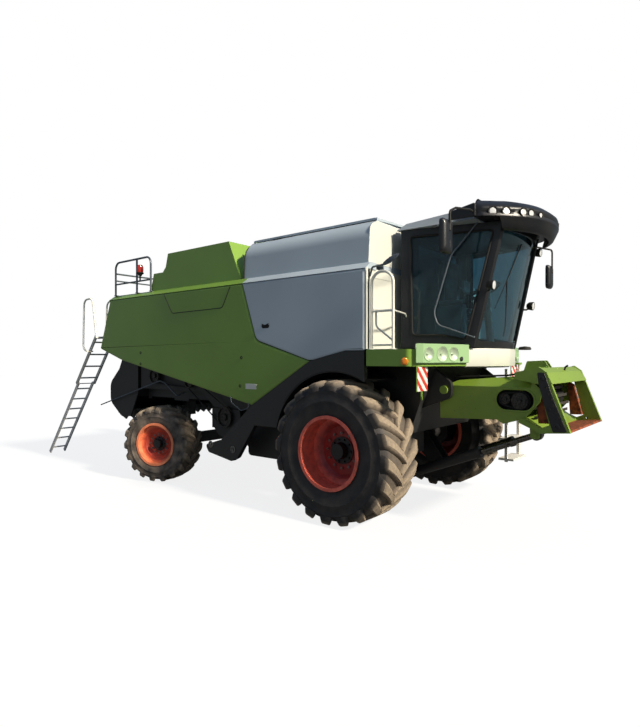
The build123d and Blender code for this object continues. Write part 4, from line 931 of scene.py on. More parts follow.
# ---- wheels
@dataclass
class Wheel:
    """One size of wheel, drawn about the origin with its outer face towards -Y."""

    name: str
    radius: float
    width: float
    seat: float
    flange: float
    disc: float
    hub: float
    lugs: int
    lug_height: float
    lug_width: float
    sweep: float
    # the rim's lighter red and the dish's darker red: a painted highlight and painted shade
    lit_rim_and_shaded_dish: tuple[str, str]
    places: dict[str, tuple[Point, float]]
    # pale mix on the flanks: dust, and where it is high also a painted highlight
    flank_dust_and_light: float = 0.12
    stations: int = 9
    # up the flank: share of the way from seat to crown, share of the half width, and a rib's height
    flank: Sequence[Point] = ((0.2, 0.965, 0.0), (0.34, 0.992, 0.0), (0.47, 1.0, 0.0), (0.49, 1.0, 0.004),
                              (0.515, 1.0, 0.004), (0.535, 0.998, 0.0), (0.66, 0.99, 0.0), (0.76, 0.972, 0.0),
                              (0.78, 0.982, 0.0), (0.81, 0.98, 0.0), (0.83, 0.955, 0.0), (0.92, 0.90, 0.0),
                              (0.975, 0.78, 0.0))

    def carcass(self) -> Form:
        """The tyre's rubber body: beads, bulging flanks with their ribs, and the crown under the lugs."""
        half, crown = self.width / 2, self.radius - self.lug_height
        bead = [(self.seat - 0.002, half * 0.72), (self.seat, half * 0.86), (self.seat + 0.012, half * 0.93),
                (self.flange - 0.01, half * 0.955), (self.flange + 0.004, half * 0.93)]
        flank = [(self.seat + (crown - self.seat) * up, half * out + rib) for up, out, rib in self.flank]
        outer = bead + flank + [(crown, half * 0.5), (crown + 0.004, 0.0)]
        line = outer + [(r, -y) for r, y in reversed(outer[:-1])]
        return Form().turned(line, (0, 0, 0), (0, 1, 0), 96)

    def lug_path(self, side: float) -> list[tuple[float, float, float, float]]:
        """Stations along one bar, from the tread's middle over its shoulder.

        Args:
            side: 1 or -1, the half of the tread.

        Returns:
            (across, foot radius, top radius, angle behind the middle) at each station.
        """
        half, crown = self.width / 2, self.radius - self.lug_height
        out = []
        for k in range(self.stations):
            t = k / (self.stations - 1)
            across = side * half * (-0.15 + 1.10 * t)
            fall = max(0.0, abs(across) / half - 0.55) / 0.45
            foot = crown - 0.02 - 0.14 * self.lug_height * (fall ** 2) * 8
            top = self.radius - 0.6 * self.lug_height * fall ** 2.2
            out.append((across, foot, top, self.sweep * (t ** 0.8)))
        return out

    def lug(self) -> Form:
        """One pair of swept bars, half a pitch apart, each with sloping flanks and a rounded foot."""
        form = Form()
        pitch = math.tau / self.lugs
        for side, phase in ((-1.0, 0.0), (1.0, 0.5)):
            stations = self.lug_path(side)
            rings = []
            for k, (across, foot, top, back) in enumerate(stations):
                t = k / (len(stations) - 1)
                wide = self.lug_width * (0.62 + 0.62 * t) / self.radius
                ring = []
                for spread, level in ((-0.62, foot), (-0.50, foot + 0.55 * (top - foot)),
                                      (-0.40, top - 0.010), (-0.30, top), (0.30, top), (0.40, top - 0.010),
                                      (0.52, foot + 0.55 * (top - foot)), (0.66, foot)):
                    angle = phase * pitch - back + spread * wide
                    ring.append(Vector((level * math.sin(angle), across, level * math.cos(angle))))
                rings.append(ring)
            across, foot, top, back = stations[-1]
            middle = (foot + top) / 2
            last = []
            for point in rings[-1]:
                level = math.hypot(point.x, point.z)
                angle = math.atan2(point.x, point.z)
                centre = phase * pitch - back
                angle = centre + (angle - centre) * 0.72
                level = middle + (level - middle) * 0.62 - 0.02
                last.append(Vector((level * math.sin(angle), across + side * 0.016, level * math.cos(angle))))
            form.loft(rings + [last])
        return form

    def nut_places(self) -> list[Point]:
        """Places of the wheel nuts on the disc."""
        y, radius = -self.width / 2 + self.disc - 0.024, self.hub * 1.28
        return [(radius * math.sin(a), y, radius * math.cos(a)) for a in about(12)]

    def build(self, shop: Workshop) -> None:
        """Dresses both wheels of this size."""
        for side, (centre, steer) in self.places.items():
            hub = Hub(tuple(Vector(centre) + shop.shift), steer, self.radius, self.flange, self.hub)
            rubber = TyreRubber(f"tyre_rubber_{self.name}_{side}", hub, flank_dust_and_light=self.flank_dust_and_light).make()
            enamel = WheelEnamel(f"wheel_enamel_{self.name}_{side}", hub, *self.lit_rim_and_shaded_dish).make()
            body = f"{self.name}_wheel_{side}"
            place = Matrix.Translation(centre) @ Matrix.Rotation(steer, 4, "Z")
            tyre = self.carcass().moved(place)
            shop.piece(f"{self.name}_tyre_carcass_{side}", tyre, rubber, body, (f"{self.name}_tyre_{side}",),
                       40, "tyre_rubber")
            bars = shop.grown(Repeat.RING, self.lug(), rubber, Count=self.lugs, Phase=0.25)
            bars.transform(place)
            shop.piece(f"{self.name}_tyre_lugs_{side}", bars, rubber, body, (), 35, "tyre_rubber")
            shop.paint(enamel, body)
            nuts = shop.bolts(self.nut_places(), (0, -1, 0), Finish.STEEL)
            if side == "left":
                nuts.transform(OTHER_SIDE)
                nuts.flip_normals()
            nuts.transform(place)
            shop.piece(f"{self.name}_wheel_nuts_{side}", nuts, Finish.STEEL, body)


FRONT = Wheel("front", 0.881, 0.690, 0.425, 0.454, 0.320, 0.170, 20, 0.055, 0.142, 0.36,
              ("#f4705c", "#a02c28"),
              {"right": ((0.0, -1.3835, 0.881), 0.0), "left": ((0.0, 1.3835, 0.881), 0.0)})
REAR_STEER = math.radians(21)


def rear_centre(side: float) -> Point:
    """Middle of a rear wheel, which stands off its kingpin and is steered."""
    offset = Matrix.Rotation(REAR_STEER, 3, "Z") @ Vector((0, 0.230 * side, 0))
    return tuple(Vector((-3.817, 1.175 * side, 0.620)) + offset)


# The rear tyres' flanks take far more of the pale mix than the front's: partly dust, partly a painted
# highlight, as if sun fell on the rear flanks while the front ones are in shade.
REAR = Wheel("rear", 0.620, 0.500, 0.325, 0.350, 0.150, 0.120, 18, 0.040, 0.098, 0.34, ("#ff9468", "#c04430"),
             {"right": (rear_centre(-1), REAR_STEER), "left": (rear_centre(1), REAR_STEER)}, 0.75)


# ---- side panels
@dataclass
class SidePanels:
    """The two big swing-up side panels, each a silver and a green skin over a tube frame."""

    outer: float = 1.600
    skin: float = 0.030
    crease: float = 3.060
    gap: float = 0.010
    hem: float = 0.020
    lower_front: Sequence[Point] = ((0.450, 2.112, 0.02), (0.164, 2.112, 0.05), (-0.375, 1.992, 0.25))
    boundary: Sequence[Point] = ((-1.330, 2.275, 0.16), (-1.600, 3.060))
    lower_rear: Sequence[Point] = ((-1.418, 1.381, 0.05), (-4.670, 2.000, 0.45), (-5.365, 2.207, 0.02))
    back: Point = (-5.030, 3.060)
    hatch: Sequence[Point] = ((-3.410, 3.045), (-3.200, 2.734, 0.08), (-2.014, 2.750, 0.08), (-1.842, 3.045))
    locks: Sequence[Point] = ((-1.613, 2.032), (-1.641, 1.636), (-4.072, 2.119), (-4.073, 1.934))

    def silver_outline(self) -> list[Point]:
        """Outline of the silver skin."""
        return [(0.450, self.crease), *self.lower_front, *self.boundary]

    def green_outline(self) -> list[Point]:
        """Outline of the green skin, which meets the silver one along the slanted line."""
        start = (self.lower_front[-1][0] - 0.012, self.lower_front[-1][1] - 0.008)
        turn, top = self.boundary
        return [(top[0] - self.gap, self.crease), (turn[0] - self.gap, turn[1] - 0.012, 0.16), start,
                *self.lower_rear, self.back]

    def skin_form(self, outline: Sequence[Point]) -> Form:
        """A flat skin with a hem bent in all round."""
        line = rounded(outline, 8)
        # the last ring keeps the bend's shading off the flat
        steps = ((0.0, self.skin), (0.0, 0.011), (self.hem, 0.0), (self.hem + 0.004, 0.0))
        return Form().loft([[Lay.SIDE.point(*p, depth - self.outer)
                             for p in (inset(line, by) if by else line)]
                            for by, depth in steps])

    def seam(self) -> Form:
        """The black seal round the hatch, let into the green skin."""
        path = rounded(self.hatch, 6, closed=False)
        return Form().tube([(p.x, -self.outer - 0.001, p.y) for p in path], 0.006, 8)

    def frame_tubes(self) -> Form:
        """The tube frame behind the skins."""
        y = -self.outer + self.skin + 0.018
        form = Form()
        for x, foot in ((0.38, 2.16), (-1.35, 2.30), (-1.70, 1.62), (-3.2, 1.80), (-4.95, 2.14)):
            form.tube([(x, y, foot), (x, y, 3.035)], 0.014, 8)
        form.tube([(0.38, y, 3.035), (-5.0, y, 3.035)], 0.014, 8)
        form.tube([(0.38, y, 2.45), (-5.05, y, 2.45)], 0.014, 8)
        return form

    def build(self, shop: Workshop) -> None:
        """Dresses both panels."""
        for side in ("right", "left"):
            body = f"side_panel_{side}"
            plate = Form().box((-1.53, -1.32), (-1.603, -1.599), (1.598, 1.672), 0.002)
            for name, form, finish, stands in (
                ("silver_skin", self.skin_form(self.silver_outline()), Finish.SILVER, (body,)),
                ("green_skin", self.skin_form(self.green_outline()), Finish.GREEN, (body,)),
                ("hatch_seal", self.seam(), Finish.SEAL, ()),
                ("panel_frame", self.frame_tubes(), Finish.CHASSIS, ()),
                ("blank_plate", plate, Finish.WHITE, ()),
                ("panel_locks", self.lock_forms(), Finish.SEAL, ()),
                ("panel_handle", self.handle(), Finish.SEAL, ()),
                ("pull_wire", self.wire(), Finish.GALVANISED, ()),
            ):
                if side == "left":
                    form.moved(OTHER_SIDE)
                shop.piece(f"{name}_{side}", form, finish, body, stands)

    @staticmethod
    def handle() -> Form:
        """The sunk latch handle on the silver skin."""
        cup = [(-1.225, 2.470, 0.02), (-1.205, 2.425, 0.03), (-1.085, 2.425, 0.03), (-1.065, 2.470, 0.02)]
        form = Form().prism(Lay.SIDE, cup, -1.6035, -1.599, 0.0015)
        return form.tube([(-1.205, -1.6045, 2.478), (-1.150, -1.607, 2.458, 0.02), (-1.085, -1.6045, 2.482)],
                         0.009, 8)

    @staticmethod
    def wire() -> Form:
        """The pull wire that hangs below the green skin's lower edge."""
        line = [(-1.828, -1.6065, 1.478), (-1.815, -1.6085, 1.400, 0.03), (-1.610, -1.6105, 1.292, 0.05),
                (-1.478, -1.6085, 1.335, 0.03), (-1.458, -1.6065, 1.410)]
        return Form().tube(line, 0.0055, 8)

    def lock_forms(self) -> Form:
        """The round key locks, each a ring round a sunk barrel."""
        form = Form()
        for x, z in self.locks:
            form.turned([(0.0, -0.002), (0.011, -0.002), (0.013, 0.004), (0.021, 0.005), (0.023, 0.0),
                         (0.023, -0.004), (0.0, -0.004)], (x, -self.outer, z), (0, -1, 0), 20)
        return form


# ---- cab
@dataclass
class Visor:
    """The black moulded visor round the front of the cab roof, with its side wings and work lamps."""

    roof: float = 3.600
    back: float = 1.507
    corner: Point = (1.610, 0.970)
    nose: float = 2.110
    bulge: float = 0.022
    bulge_half: float = 0.660
    levels: Sequence[Point] = ((-0.125, -0.090), (-0.105, -0.058), (-0.050, -0.030), (0.010, -0.002),
                               (0.030, 0.0),
                               (0.060, -0.020), (0.095, -0.005), (0.120, -0.012), (0.155, -0.050),
                               (0.200, -0.110), (0.228, -0.185), (0.240, -0.250))
    lip_from: float = 1.745
    wall: float = 0.028
    lamps: Sequence[Point] = ((0.880, 0.052), (0.765, 0.052), (0.600, 0.048), (0.500, 0.048), (0.350, 0.036))
    lamp_z: float = 3.665
    wing: Sequence[Point] = ((1.210, 3.612, 0.02), (1.535, 3.612, 0.01), (1.535, 3.765, 0.025),
                             (1.210, 3.705, 0.03))
    wing_y: Point = (0.963, 1.000)

    def front(self, grow: float, share: float) -> tuple[float, float]:
        """A point of the front line.

        Args:
            grow: How far the line stands out beyond the corner line.
            share: -1 at the right corner, 0 at the nose and 1 at the left corner.

        Returns:
            Its x and y.
        """
        x0, half = self.corner[0] + grow, self.corner[1] + grow * 0.5
        rise = self.nose - self.corner[0]
        radius = (half * half + rise * rise) / (2 * rise)
        angle = math.asin(half / radius) * share
        y = radius * math.sin(angle)
        step = min(1.0, max(0.0, (self.bulge_half - abs(y)) / 0.05))
        return x0 + rise - radius * (1 - math.cos(angle)) + self.bulge * (step - 1), y

    def line(self, grow: float, clip: float | None = None, steps: int = 64) -> list[Point]:
        """The front line from right to left, kept in front of clip where it is given."""
        reach = 1.0
        while clip and reach > 0.1 and self.front(grow, reach)[0] < clip:
            reach -= 0.01
        return [self.front(grow, reach * (2 * k / steps - 1)) for k in range(steps + 1)]

    def shell(self) -> Form:
        """The moulding above the roof line and the lip that hangs before the windscreen."""
        shell, lip = [], []
        for rise, grow in self.levels:
            z = self.roof + rise
            if rise > 0.005:
                line = self.line(grow)
                closed = [(self.back, -line[-1][1]), *line, (self.back, line[-1][1])]
                shell.append([Vector((max(x, self.back), y, z)) for x, y in closed])
            if rise < 0.02:
                outer, inner = self.line(grow, self.lip_from), self.line(grow - self.wall, self.lip_from)
                lip.append([Vector((x, y, z)) for x, y in outer + inner[::-1]])
        return Form().loft(shell).loft(lip)

    def lamp_places(self) -> list[tuple[Vector, Vector, float]]:
        """Middle, outward direction and radius of each lamp."""
        out = []
        for reach, radius in self.lamps:
            for side in (-1, 1):
                share = min((abs(self.front(0.0, k / 400)[1] - reach), k / 400) for k in range(401))[1]
                x, y = self.front(-0.012, share)
                ahead = self.front(-0.012, share - 0.01)
                along = Vector((x - ahead[0], y - ahead[1])).normalized()
                out.append((Vector((x, side * y, self.lamp_z)), Vector((along.y, -side * along.x, -0.05)),
                            radius))
        return out

    def build(self, shop: Workshop) -> None:
        """Dresses the visor, its wings and its lamps."""
        shop.piece("visor_shell", self.shell(), Finish.HOOD, replaces=("roof_visor",), smooth=50)
        wings = Form().prism(Lay.SIDE, self.wing, *self.wing_y, 0.006).mirrored()
        shop.piece("visor_wings", wings, Finish.HOOD, replaces=("roof_visor",))
        lens, cups = Form(), Form()
        for centre, out, radius in self.lamp_places():
            cups.turned([(radius, -0.03), (radius + 0.009, 0.0), (radius + 0.004, 0.012),
                         (radius - 0.006, 0.010), (radius - 0.010, -0.03)], centre, out, 24)
            lens.turned([(0.0, -0.02), (radius - 0.008, -0.02), (radius - 0.008, -0.002),
                         (radius * 0.7, 0.005), (0.0, 0.008)], centre, out, 24)
        shop.piece("visor_lamp_rings", cups, Finish.SEAL)
        shop.piece("visor_lamp_lenses", lens, Finish.LAMP)


@dataclass
class Cushion:
    """A sewn seat pad: filled until it crowns, with piping round it and channels across it."""

    name: str
    centre: Point
    size: Point
    tilt: float = 0.0
    channels: int = 3
    fill: float = 0.7
    swell: float = 0.014
    frames: int = 12

    def block(self) -> bpy.types.Mesh:
        """The slack cover before it is filled, a little smaller than the finished pad."""
        x, y, z = (v / 2 - 0.012 for v in self.size)
        return Form().box((-x, x), (-y, y), (-z, z), 0.02).mesh(self.name)

    def filled(self) -> bpy.types.Mesh:
        """Blows the cover up as cloth and returns the settled mesh."""
        pad = placed("slack_" + self.name, self.block())
        remesh = pad.modifiers.new("even", "REMESH")
        remesh.mode = "VOXEL"
        remesh.voxel_size = self.swell
        even = settled(pad)
        pad.data = even
        cloth = pad.modifiers.new("cloth", "CLOTH")
        cloth.settings.use_pressure = True
        cloth.settings.uniform_pressure_force = 4.0
        cloth.settings.effector_weights.gravity = 0.0
        cloth.point_cache.frame_start = 1
        cloth.point_cache.frame_end = self.frames
        for frame in range(1, self.frames + 1):
            bpy.context.scene.frame_set(frame)
        full = settled(pad)
        for start, end in zip(even.vertices, full.vertices):
            move = end.co - start.co
            end.co = start.co + move.normalized() * min(move.length, self.swell)
        bpy.context.scene.frame_set(1)
        pad.data = full
        data = pad.data
        bpy.data.objects.remove(pad)
        self.sew(data)
        return data

    def sew(self, data: bpy.types.Mesh) -> None:
        """Pulls the seams and channels in."""
        half_x, half_y = self.size[0] / 2, self.size[1] / 2
        for vertex in data.vertices:
            x, y = vertex.co.x / half_x, vertex.co.y / half_y
            side = math.exp(-((abs(y) - 0.66) / 0.05) ** 2) if abs(y) < 0.95 else 0.0
            rows = [2 * (k + 1) / (self.channels + 1) - 1 for k in range(self.channels)]
            across = max(math.exp(-((x - row) / 0.05) ** 2) for row in rows) if abs(y) < 0.66 else 0.0
            vertex.co.z -= math.copysign(0.008, vertex.co.z) * max(side, across) * (abs(vertex.co.z) > 0.02)

    def build(self, shop: Workshop) -> None:
        """Puts the pad on the seat."""
        data = self.filled()
        data.transform(Matrix.Translation(self.centre) @ Matrix.Rotation(self.tilt, 4, "Y"))
        data.shade_smooth()
        pad = shop.piece(self.name, data, Finish.CLOTH, replaces=("operator_seat",))


@dataclass
class Cab:
    """What the cab carries: seals, guard rail, pillar lamps, wiper, seat and controls."""

    floor: float = 2.150
    top: float = 3.600
    rear: float = 0.560
    rear_half: float = 0.950
    foot: Point = (1.370, 0.700)
    head: Point = (1.700, 0.640)
    window: Sequence[Point] = ((0.695, 2.300, 0.06), (1.040, 2.300, 0.10), (1.307, 2.242, 0.05),
                               (1.619, 3.510, 0.05), (0.675, 3.510, 0.04))
    guard: Sequence[Point] = ((1.530, 3.690), (1.160, 3.245, 0.20), (0.960, 2.560, 0.20),
                              (1.010, 2.420, 0.10), (1.400, 2.270))
    lamps: Sequence[tuple[Point, float]] = (((1.625, -0.735, 2.860), 1.0), ((1.600, 0.735, 2.730), 1.0),
                                            ((1.700, 0.720, 3.440), 0.8))

    def corner(self, z: float) -> Vector:
        """The slanted front corner at a height, as x and distance from the middle."""
        return Vector(self.foot).lerp(Vector(self.head), (z - self.floor) / (self.top - self.floor))

    def wall_y(self, x: float, z: float) -> float:
        """Distance of the side wall's outer face from the middle."""
        px, py = self.corner(z)
        return self.rear_half - (self.rear_half - py) * (x - self.rear) / (px - self.rear)

    def on_wall(self, line: Iterable[Point], out: float, side: float) -> list[Vector]:
        """Puts a flat line (x, z) on a side wall, standing out by a distance."""
        return [Vector((p[0], side * (self.wall_y(p[0], p[1]) + out), p[1])) for p in line]

    def window_seal(self, side: float) -> Form:
        """The rubber seal round a side window."""
        line = rounded(self.window, 6)
        path = self.on_wall(line + [line[0]], 0.002, side)
        return Form().tube([tuple(p) for p in path], 0.013, 8)

    def guard_rail(self) -> Form:
        """The thin rail that runs down beside the right window, from the visor to the pillar's foot."""
        line = rounded(self.guard, 7, closed=False)
        form = Form().tube([tuple(p) for p in self.on_wall(line, 0.035, -1)], 0.0085, 10)
        for x, z in (line[0], line[-1]):
            wall = self.wall_y(x, z)
            form.tube([(x, -wall - 0.04, z), (x, -wall + 0.03, z)], 0.011, 8)
        return form

    def pillar(self, side: float) -> Form:
        """The black sheet that covers the slanted front pillar."""
        rings = []
        for k in range(9):
            z = self.floor + (self.top - self.floor) * k / 8
            px, py = self.corner(z)
            plan = [(px - 0.042, self.wall_y(px - 0.042, z) + 0.006), (px - 0.01, py + 0.012),
                    (px + 0.022, py - 0.002),
                    (px + 0.040, py - 0.038), (px + 0.018, py - 0.045), (px - 0.036, py - 0.02)]
            rings.append([Vector((x, side * y, z)) for x, y in plan])
        return Form().loft(rings)

    def wiper(self) -> Form:
        """The long wiper on the windscreen, with its arm and blade."""
        arm = Form().tube([(1.500, -0.05, 2.30), (1.545, -0.10, 2.42), (1.640, -0.30, 2.95)], 0.010, 8)
        return arm.tube([(1.525, -0.40, 2.62), (1.660, -0.28, 3.02), (1.765, -0.16, 3.40)], 0.008, 8)

    def pillar_lamps(self, shop: Workshop) -> None:
        """The round work lamps on the front pillars."""
        bodies, lenses = Form(), Form()
        for (x, y, z), size in self.lamps:
            at, ahead = Vector((x, y, z)), Vector((1.0, 0.0, -0.1))
            bodies.turned([(0.0, -0.060), (0.030, -0.058), (0.052, -0.030), (0.058, 0.020), (0.054, 0.030),
                           (0.050, 0.022), (0.0, 0.020)], at, ahead, 24)
            lenses.turned([(0.0, 0.018), (0.049, 0.020), (0.047, 0.028), (0.0, 0.034)], at, ahead, 24)
            side = math.copysign(1, y)
            bodies.tube([(x - 0.03, y, z - 0.03 * size), (x - 0.05, y - side * 0.05, z - 0.05),
                         (x - 0.10, y - side * 0.09, z - 0.05)], 0.012, 8)
        shop.piece("pillar_lamp_bodies", bodies, Finish.SEAL)
        shop.piece("pillar_lamp_lenses", lenses, Finish.LAMP)
        foot = Form().turned([(0.0, 0.0), (0.075, 0.0), (0.085, 0.012), (0.070, 0.040), (0.0, 0.050)],
                             (1.545, 0.640, 2.135), (0, 0, 1), 24)
        shop.piece("screen_foot", foot, Finish.SEAL)

    def controls(self) -> Form:
        """Steering column and wheel, armrest console, lever and screen."""
        floor = self.floor + 0.050
        form = Form().box((0.76, 1.15), (-0.46, -0.33), (floor, floor + 0.50), 0.02)
        form.box((0.70, 1.12), (-0.45, -0.34), (floor + 0.505, floor + 0.56), 0.02)
        form.tube([(1.05, -0.40, floor + 0.54), (1.06, -0.40, floor + 0.64), (1.10, -0.40, floor + 0.70)],
                  0.024, 12)
        form.box((1.16, 1.18), (-0.50, -0.30), (floor + 0.62, floor + 0.78), 0.008)
        form.tube([(1.10, -0.37, floor + 0.45), (1.15, -0.39, floor + 0.60), (1.165, -0.40, floor + 0.68)],
                  0.014, 8)
        form.tube([(1.32, 0, floor), (1.29, 0, floor + 0.30, 0.2), (1.255, 0, floor + 0.69)], 0.045, 16)
        centre, tilt = Vector((1.25, 0.0, floor + 0.70)), Vector((-0.45, 0, 0.9)).normalized()
        side = Vector((0, 1, 0))
        ahead = side.cross(tilt)
        ring = [(0.19 + 0.016 * math.cos(a), 0.016 * math.sin(a)) for a in about(10)]
        form.turned(ring, centre, tilt, 40)
        for turn in (90, 210, 330):
            way = side * math.cos(math.radians(turn)) + ahead * math.sin(math.radians(turn))
            form.tube([tuple(centre - tilt * 0.02 + way * 0.03), tuple(centre + way * 0.185)], 0.012, 8, 0.6)
        return form.turned([(0.0, -0.05), (0.05, -0.05), (0.055, -0.01), (0.03, 0.005), (0.0, 0.008)], centre,
                           tilt, 24)

    def seat_base(self) -> Form:
        """The sprung seat box with its bellows, and the shell behind the backrest."""
        floor = self.floor + 0.050
        form = Form().box((0.74, 1.06), (-0.19, 0.19), (floor, floor + 0.10), 0.02)
        for k in range(4):
            form.box((0.745 + 0.008 * (k % 2), 1.055 - 0.008 * (k % 2)), (-0.18, 0.18),
                     (floor + 0.105 + 0.055 * k, floor + 0.155 + 0.055 * k), 0.02)
        form.box((0.70, 1.15), (-0.23, 0.23), (floor + 0.33, floor + 0.36), 0.012)
        shell = [(0.690, floor + 0.44, 0.02), (0.722, floor + 0.44, 0.02), (0.680, floor + 1.13, 0.02),
                 (0.650, floor + 1.13, 0.02)]
        return form.prism(Lay.SIDE, shell, -0.20, 0.20, 0.008)

    def build(self, shop: Workshop) -> None:
        """Dresses the cab."""
        shop.paint(Finish.GLASS, "cab_glass", "door_glass")
        shop.paint(Finish.BLACK, "cab_shell", "cab_door", "cab_pan")
        shop.paint(Finish.ROOF, "cab_roof")
        shop.piece("cab_console_and_wheel", self.controls(), Finish.CAB_PLASTIC, replaces=("cab_controls",))
        shop.piece("seat_base", self.seat_base(), Finish.CAB_PLASTIC, replaces=("operator_seat",))
        Cushion("seat_cushion", (0.935, 0.0, self.floor + 0.455), (0.48, 0.50, 0.120)).build(shop)
        Cushion("seat_backrest", (0.742, 0.0, self.floor + 0.870), (0.64, 0.46, 0.110), math.radians(-86.5),
                4).build(shop)
        shop.piece("window_seal_right", self.window_seal(-1), Finish.SEAL)
        shop.piece("window_seal_left", self.window_seal(1), Finish.SEAL, "cab_door")
        for name, side in (("right", -1), ("left", 1)):
            shop.piece("front_pillar_" + name, self.pillar(side), Finish.BLACK)
        shop.piece("window_guard_rail", self.guard_rail(), Finish.GALVANISED)
        shop.piece("screen_wiper", self.wiper(), Finish.SEAL)
        self.pillar_lamps(shop)


# ---- fascia and deck
@dataclass
class Fascia:
    """The deck's front edge: pale lamp housings with sunk bowls, and the panel under the screen."""

    path: Sequence[Point] = ((1.0853, -1.5410), (1.130, -1.500), (1.330, -0.760))
    depth: float = 0.0385
    low: float = 1.965
    high: float = 2.180
    bowls: Sequence[Point] = ((0.115, 0.074), (0.40, 0.086), (0.645, 0.080))
    bowl_z: float = 2.066
    bow: Sequence[Point] = ((1.300, -0.745), (1.490, -0.400), (1.555, 0.0), (1.490, 0.400), (1.300, 0.745))
    panel: Point = (1.926, 2.136)

    def frame_at(self, share: float) -> tuple[Vector, Vector]:
        """A place on the housing's front face and the way it faces."""
        a, b = Vector(self.path[1]), Vector(self.path[2])
        along = (b - a).normalized()
        out = Vector((along.y, -along.x, 0.0))
        at = a + (b - a) * share
        return Vector((at.x, at.y, 0.0)) + out * self.depth, out

    def housing(self) -> Form:
        """The housing without its bowls, rounded at its outer corner."""
        face, out = self.frame_at(0.0)
        end, _ = self.frame_at(1.0)
        a, b = Vector(self.path[0]), Vector(self.path[1])
        turn = (b - a).normalized()
        wing = a + Vector((turn.y, -turn.x)) * self.depth
        inner = [Vector(p) + Vector((out.x, out.y)) * 0.0005 for p in self.path]
        plan = [(p.x, p.y) for p in inner] + [(end.x, end.y), (face.x, face.y, 0.03), (wing.x, wing.y)]
        return Form().prism(Lay.PLAN, plan, self.low, self.high, 0.006)

    def bowl_places(self) -> Iterator[tuple[Vector, Vector, float]]:
        """Middle, facing direction and radius of each bowl."""
        for share, radius in self.bowls:
            at, out = self.frame_at(share)
            yield at + Vector((0, 0, self.bowl_z)), out, radius

    def bowl_cutters(self) -> Form:
        """What is taken out of the housing for the bowls."""
        form = Form()
        for at, out, radius in self.bowl_places():
            form.turned([(0.0, -0.030), (radius * 0.45, -0.029), (radius * 0.8, -0.016), (radius, 0.0),
                         (radius, 0.03), (0.0, 0.03)], at, out, 28)
        return form

    def bowl_liners(self) -> Form:
        """The bright bowls with their bulbs."""
        form = Form()
        for at, out, radius in self.bowl_places():
            form.turned([(0.0, -0.0292), (radius * 0.45, -0.0282), (radius * 0.8, -0.0152),
                         (radius - 0.001, 0.0),
                         (radius - 0.004, 0.0), (radius * 0.74, -0.0142), (radius * 0.4, -0.0262),
                         (0.0, -0.0272)],
                        at, out, 28)
            form.turned([(0.0, -0.026), (0.012, -0.026), (0.012, -0.016), (0.008, -0.010), (0.0, -0.008)], at,
                        out, 14)
        return form

    def bowl_rims(self) -> Form:
        """The raised rims round the bowls."""
        form = Form()
        for at, out, radius in self.bowl_places():
            form.turned([(radius, -0.001), (radius + 0.004, 0.004), (radius + 0.008, 0.003),
                         (radius + 0.010, -0.001)],
                        at, out, 28)
        return form

    def small_lamp(self) -> Form:
        """The small dark lamp at the housing's inner end."""
        at, out = self.frame_at(0.82)
        lamp = [(0.0, -0.004), (0.026, -0.004), (0.028, 0.006), (0.022, 0.010), (0.0, 0.012)]
        return Form().turned(lamp, at + Vector((0, 0, 2.012)), out, 22)

    def front_panel(self) -> Form:
        """The white panel that wraps the deck's nose, with rolled edges."""
        line = [Vector((*p, 0.0)) for p in rounded([(*p, 0.35) for p in self.bow], 7, closed=False)]
        rings = []
        for k, at in enumerate(line):
            ahead = (line[min(k + 1, len(line) - 1)] - line[max(k - 1, 0)]).normalized()
            out = Vector((ahead.y, -ahead.x, 0.0))
            base, (low, high) = at + out * 0.003, self.panel
            profile = ((0.0, low), (0.006, low - 0.003), (0.012, low + 0.008), (0.013, high - 0.012),
                       (0.008, high + 0.002), (-0.004, high + 0.006), (-0.004, high + 0.002),
                       (0.0, high - 0.002))
            rings.append([base + out * w + Vector((0, 0, z)) for w, z in profile])
        return Form().loft(rings)

    def build(self, shop: Workshop) -> None:
        """Dresses the deck's front edge."""
        shop.paint(Finish.GREEN, "platforms")
        whole = shop.carved(self.housing().mirrored(), self.bowl_cutters().mirrored())
        shop.piece("lamp_housing_shells", whole, Finish.GREEN_PALE, replaces=("lamp_housings",))
        shop.piece("lamp_bowls", self.bowl_liners().mirrored(), Finish.REFLECTOR, replaces=("headlamps",))
        shop.piece("lamp_bowl_rims", self.bowl_rims().mirrored(), Finish.GREEN_PALE, replaces=("headlamps",))
        shop.piece("small_front_lamps", self.small_lamp().mirrored(), Finish.SEAL)
        shop.piece("fascia_panel", self.front_panel(), Finish.WHITE)
        amber = Form().turned([(0.0, -0.028), (0.030, -0.026), (0.042, -0.008), (0.042, 0.010),
                               (0.026, 0.026),
                               (0.0, 0.032)], (1.010, -1.640, 1.985), (0.5, -1.0, 0.0), 20).mirrored()
        shop.piece("side_turn_lamps", amber, Finish.AMBER)
        socket = Form().tube([(0.96, -1.57, 1.955), (0.985, -1.61, 1.960), (1.00, -1.632, 1.975)], 0.02,
                             10).mirrored()
        shop.piece("side_turn_lamp_sockets", socket, Finish.SEAL)
        board = Form().box((1.118, 1.124), (-1.560, -1.330), (1.655, 1.925), 0.002).mirrored()
        shop.piece("warning_boards", board, Finish.BOARD)
        backing = Form().box((1.106, 1.1175), (-1.565, -1.325), (1.650, 1.930), 0.004)
        backing.tube([(1.112, -1.45, 1.66), (1.112, -1.45, 1.60), (1.10, -1.42, 1.56)], 0.012, 8)
        shop.piece("warning_board_backs", backing.mirrored(), Finish.GREEN)
        mat = Form().box((0.50, 1.08), (-1.55, -1.02), (2.1205, 2.1245), 0.002).mirrored()
        shop.piece("deck_mats", mat, Finish.SEAL)


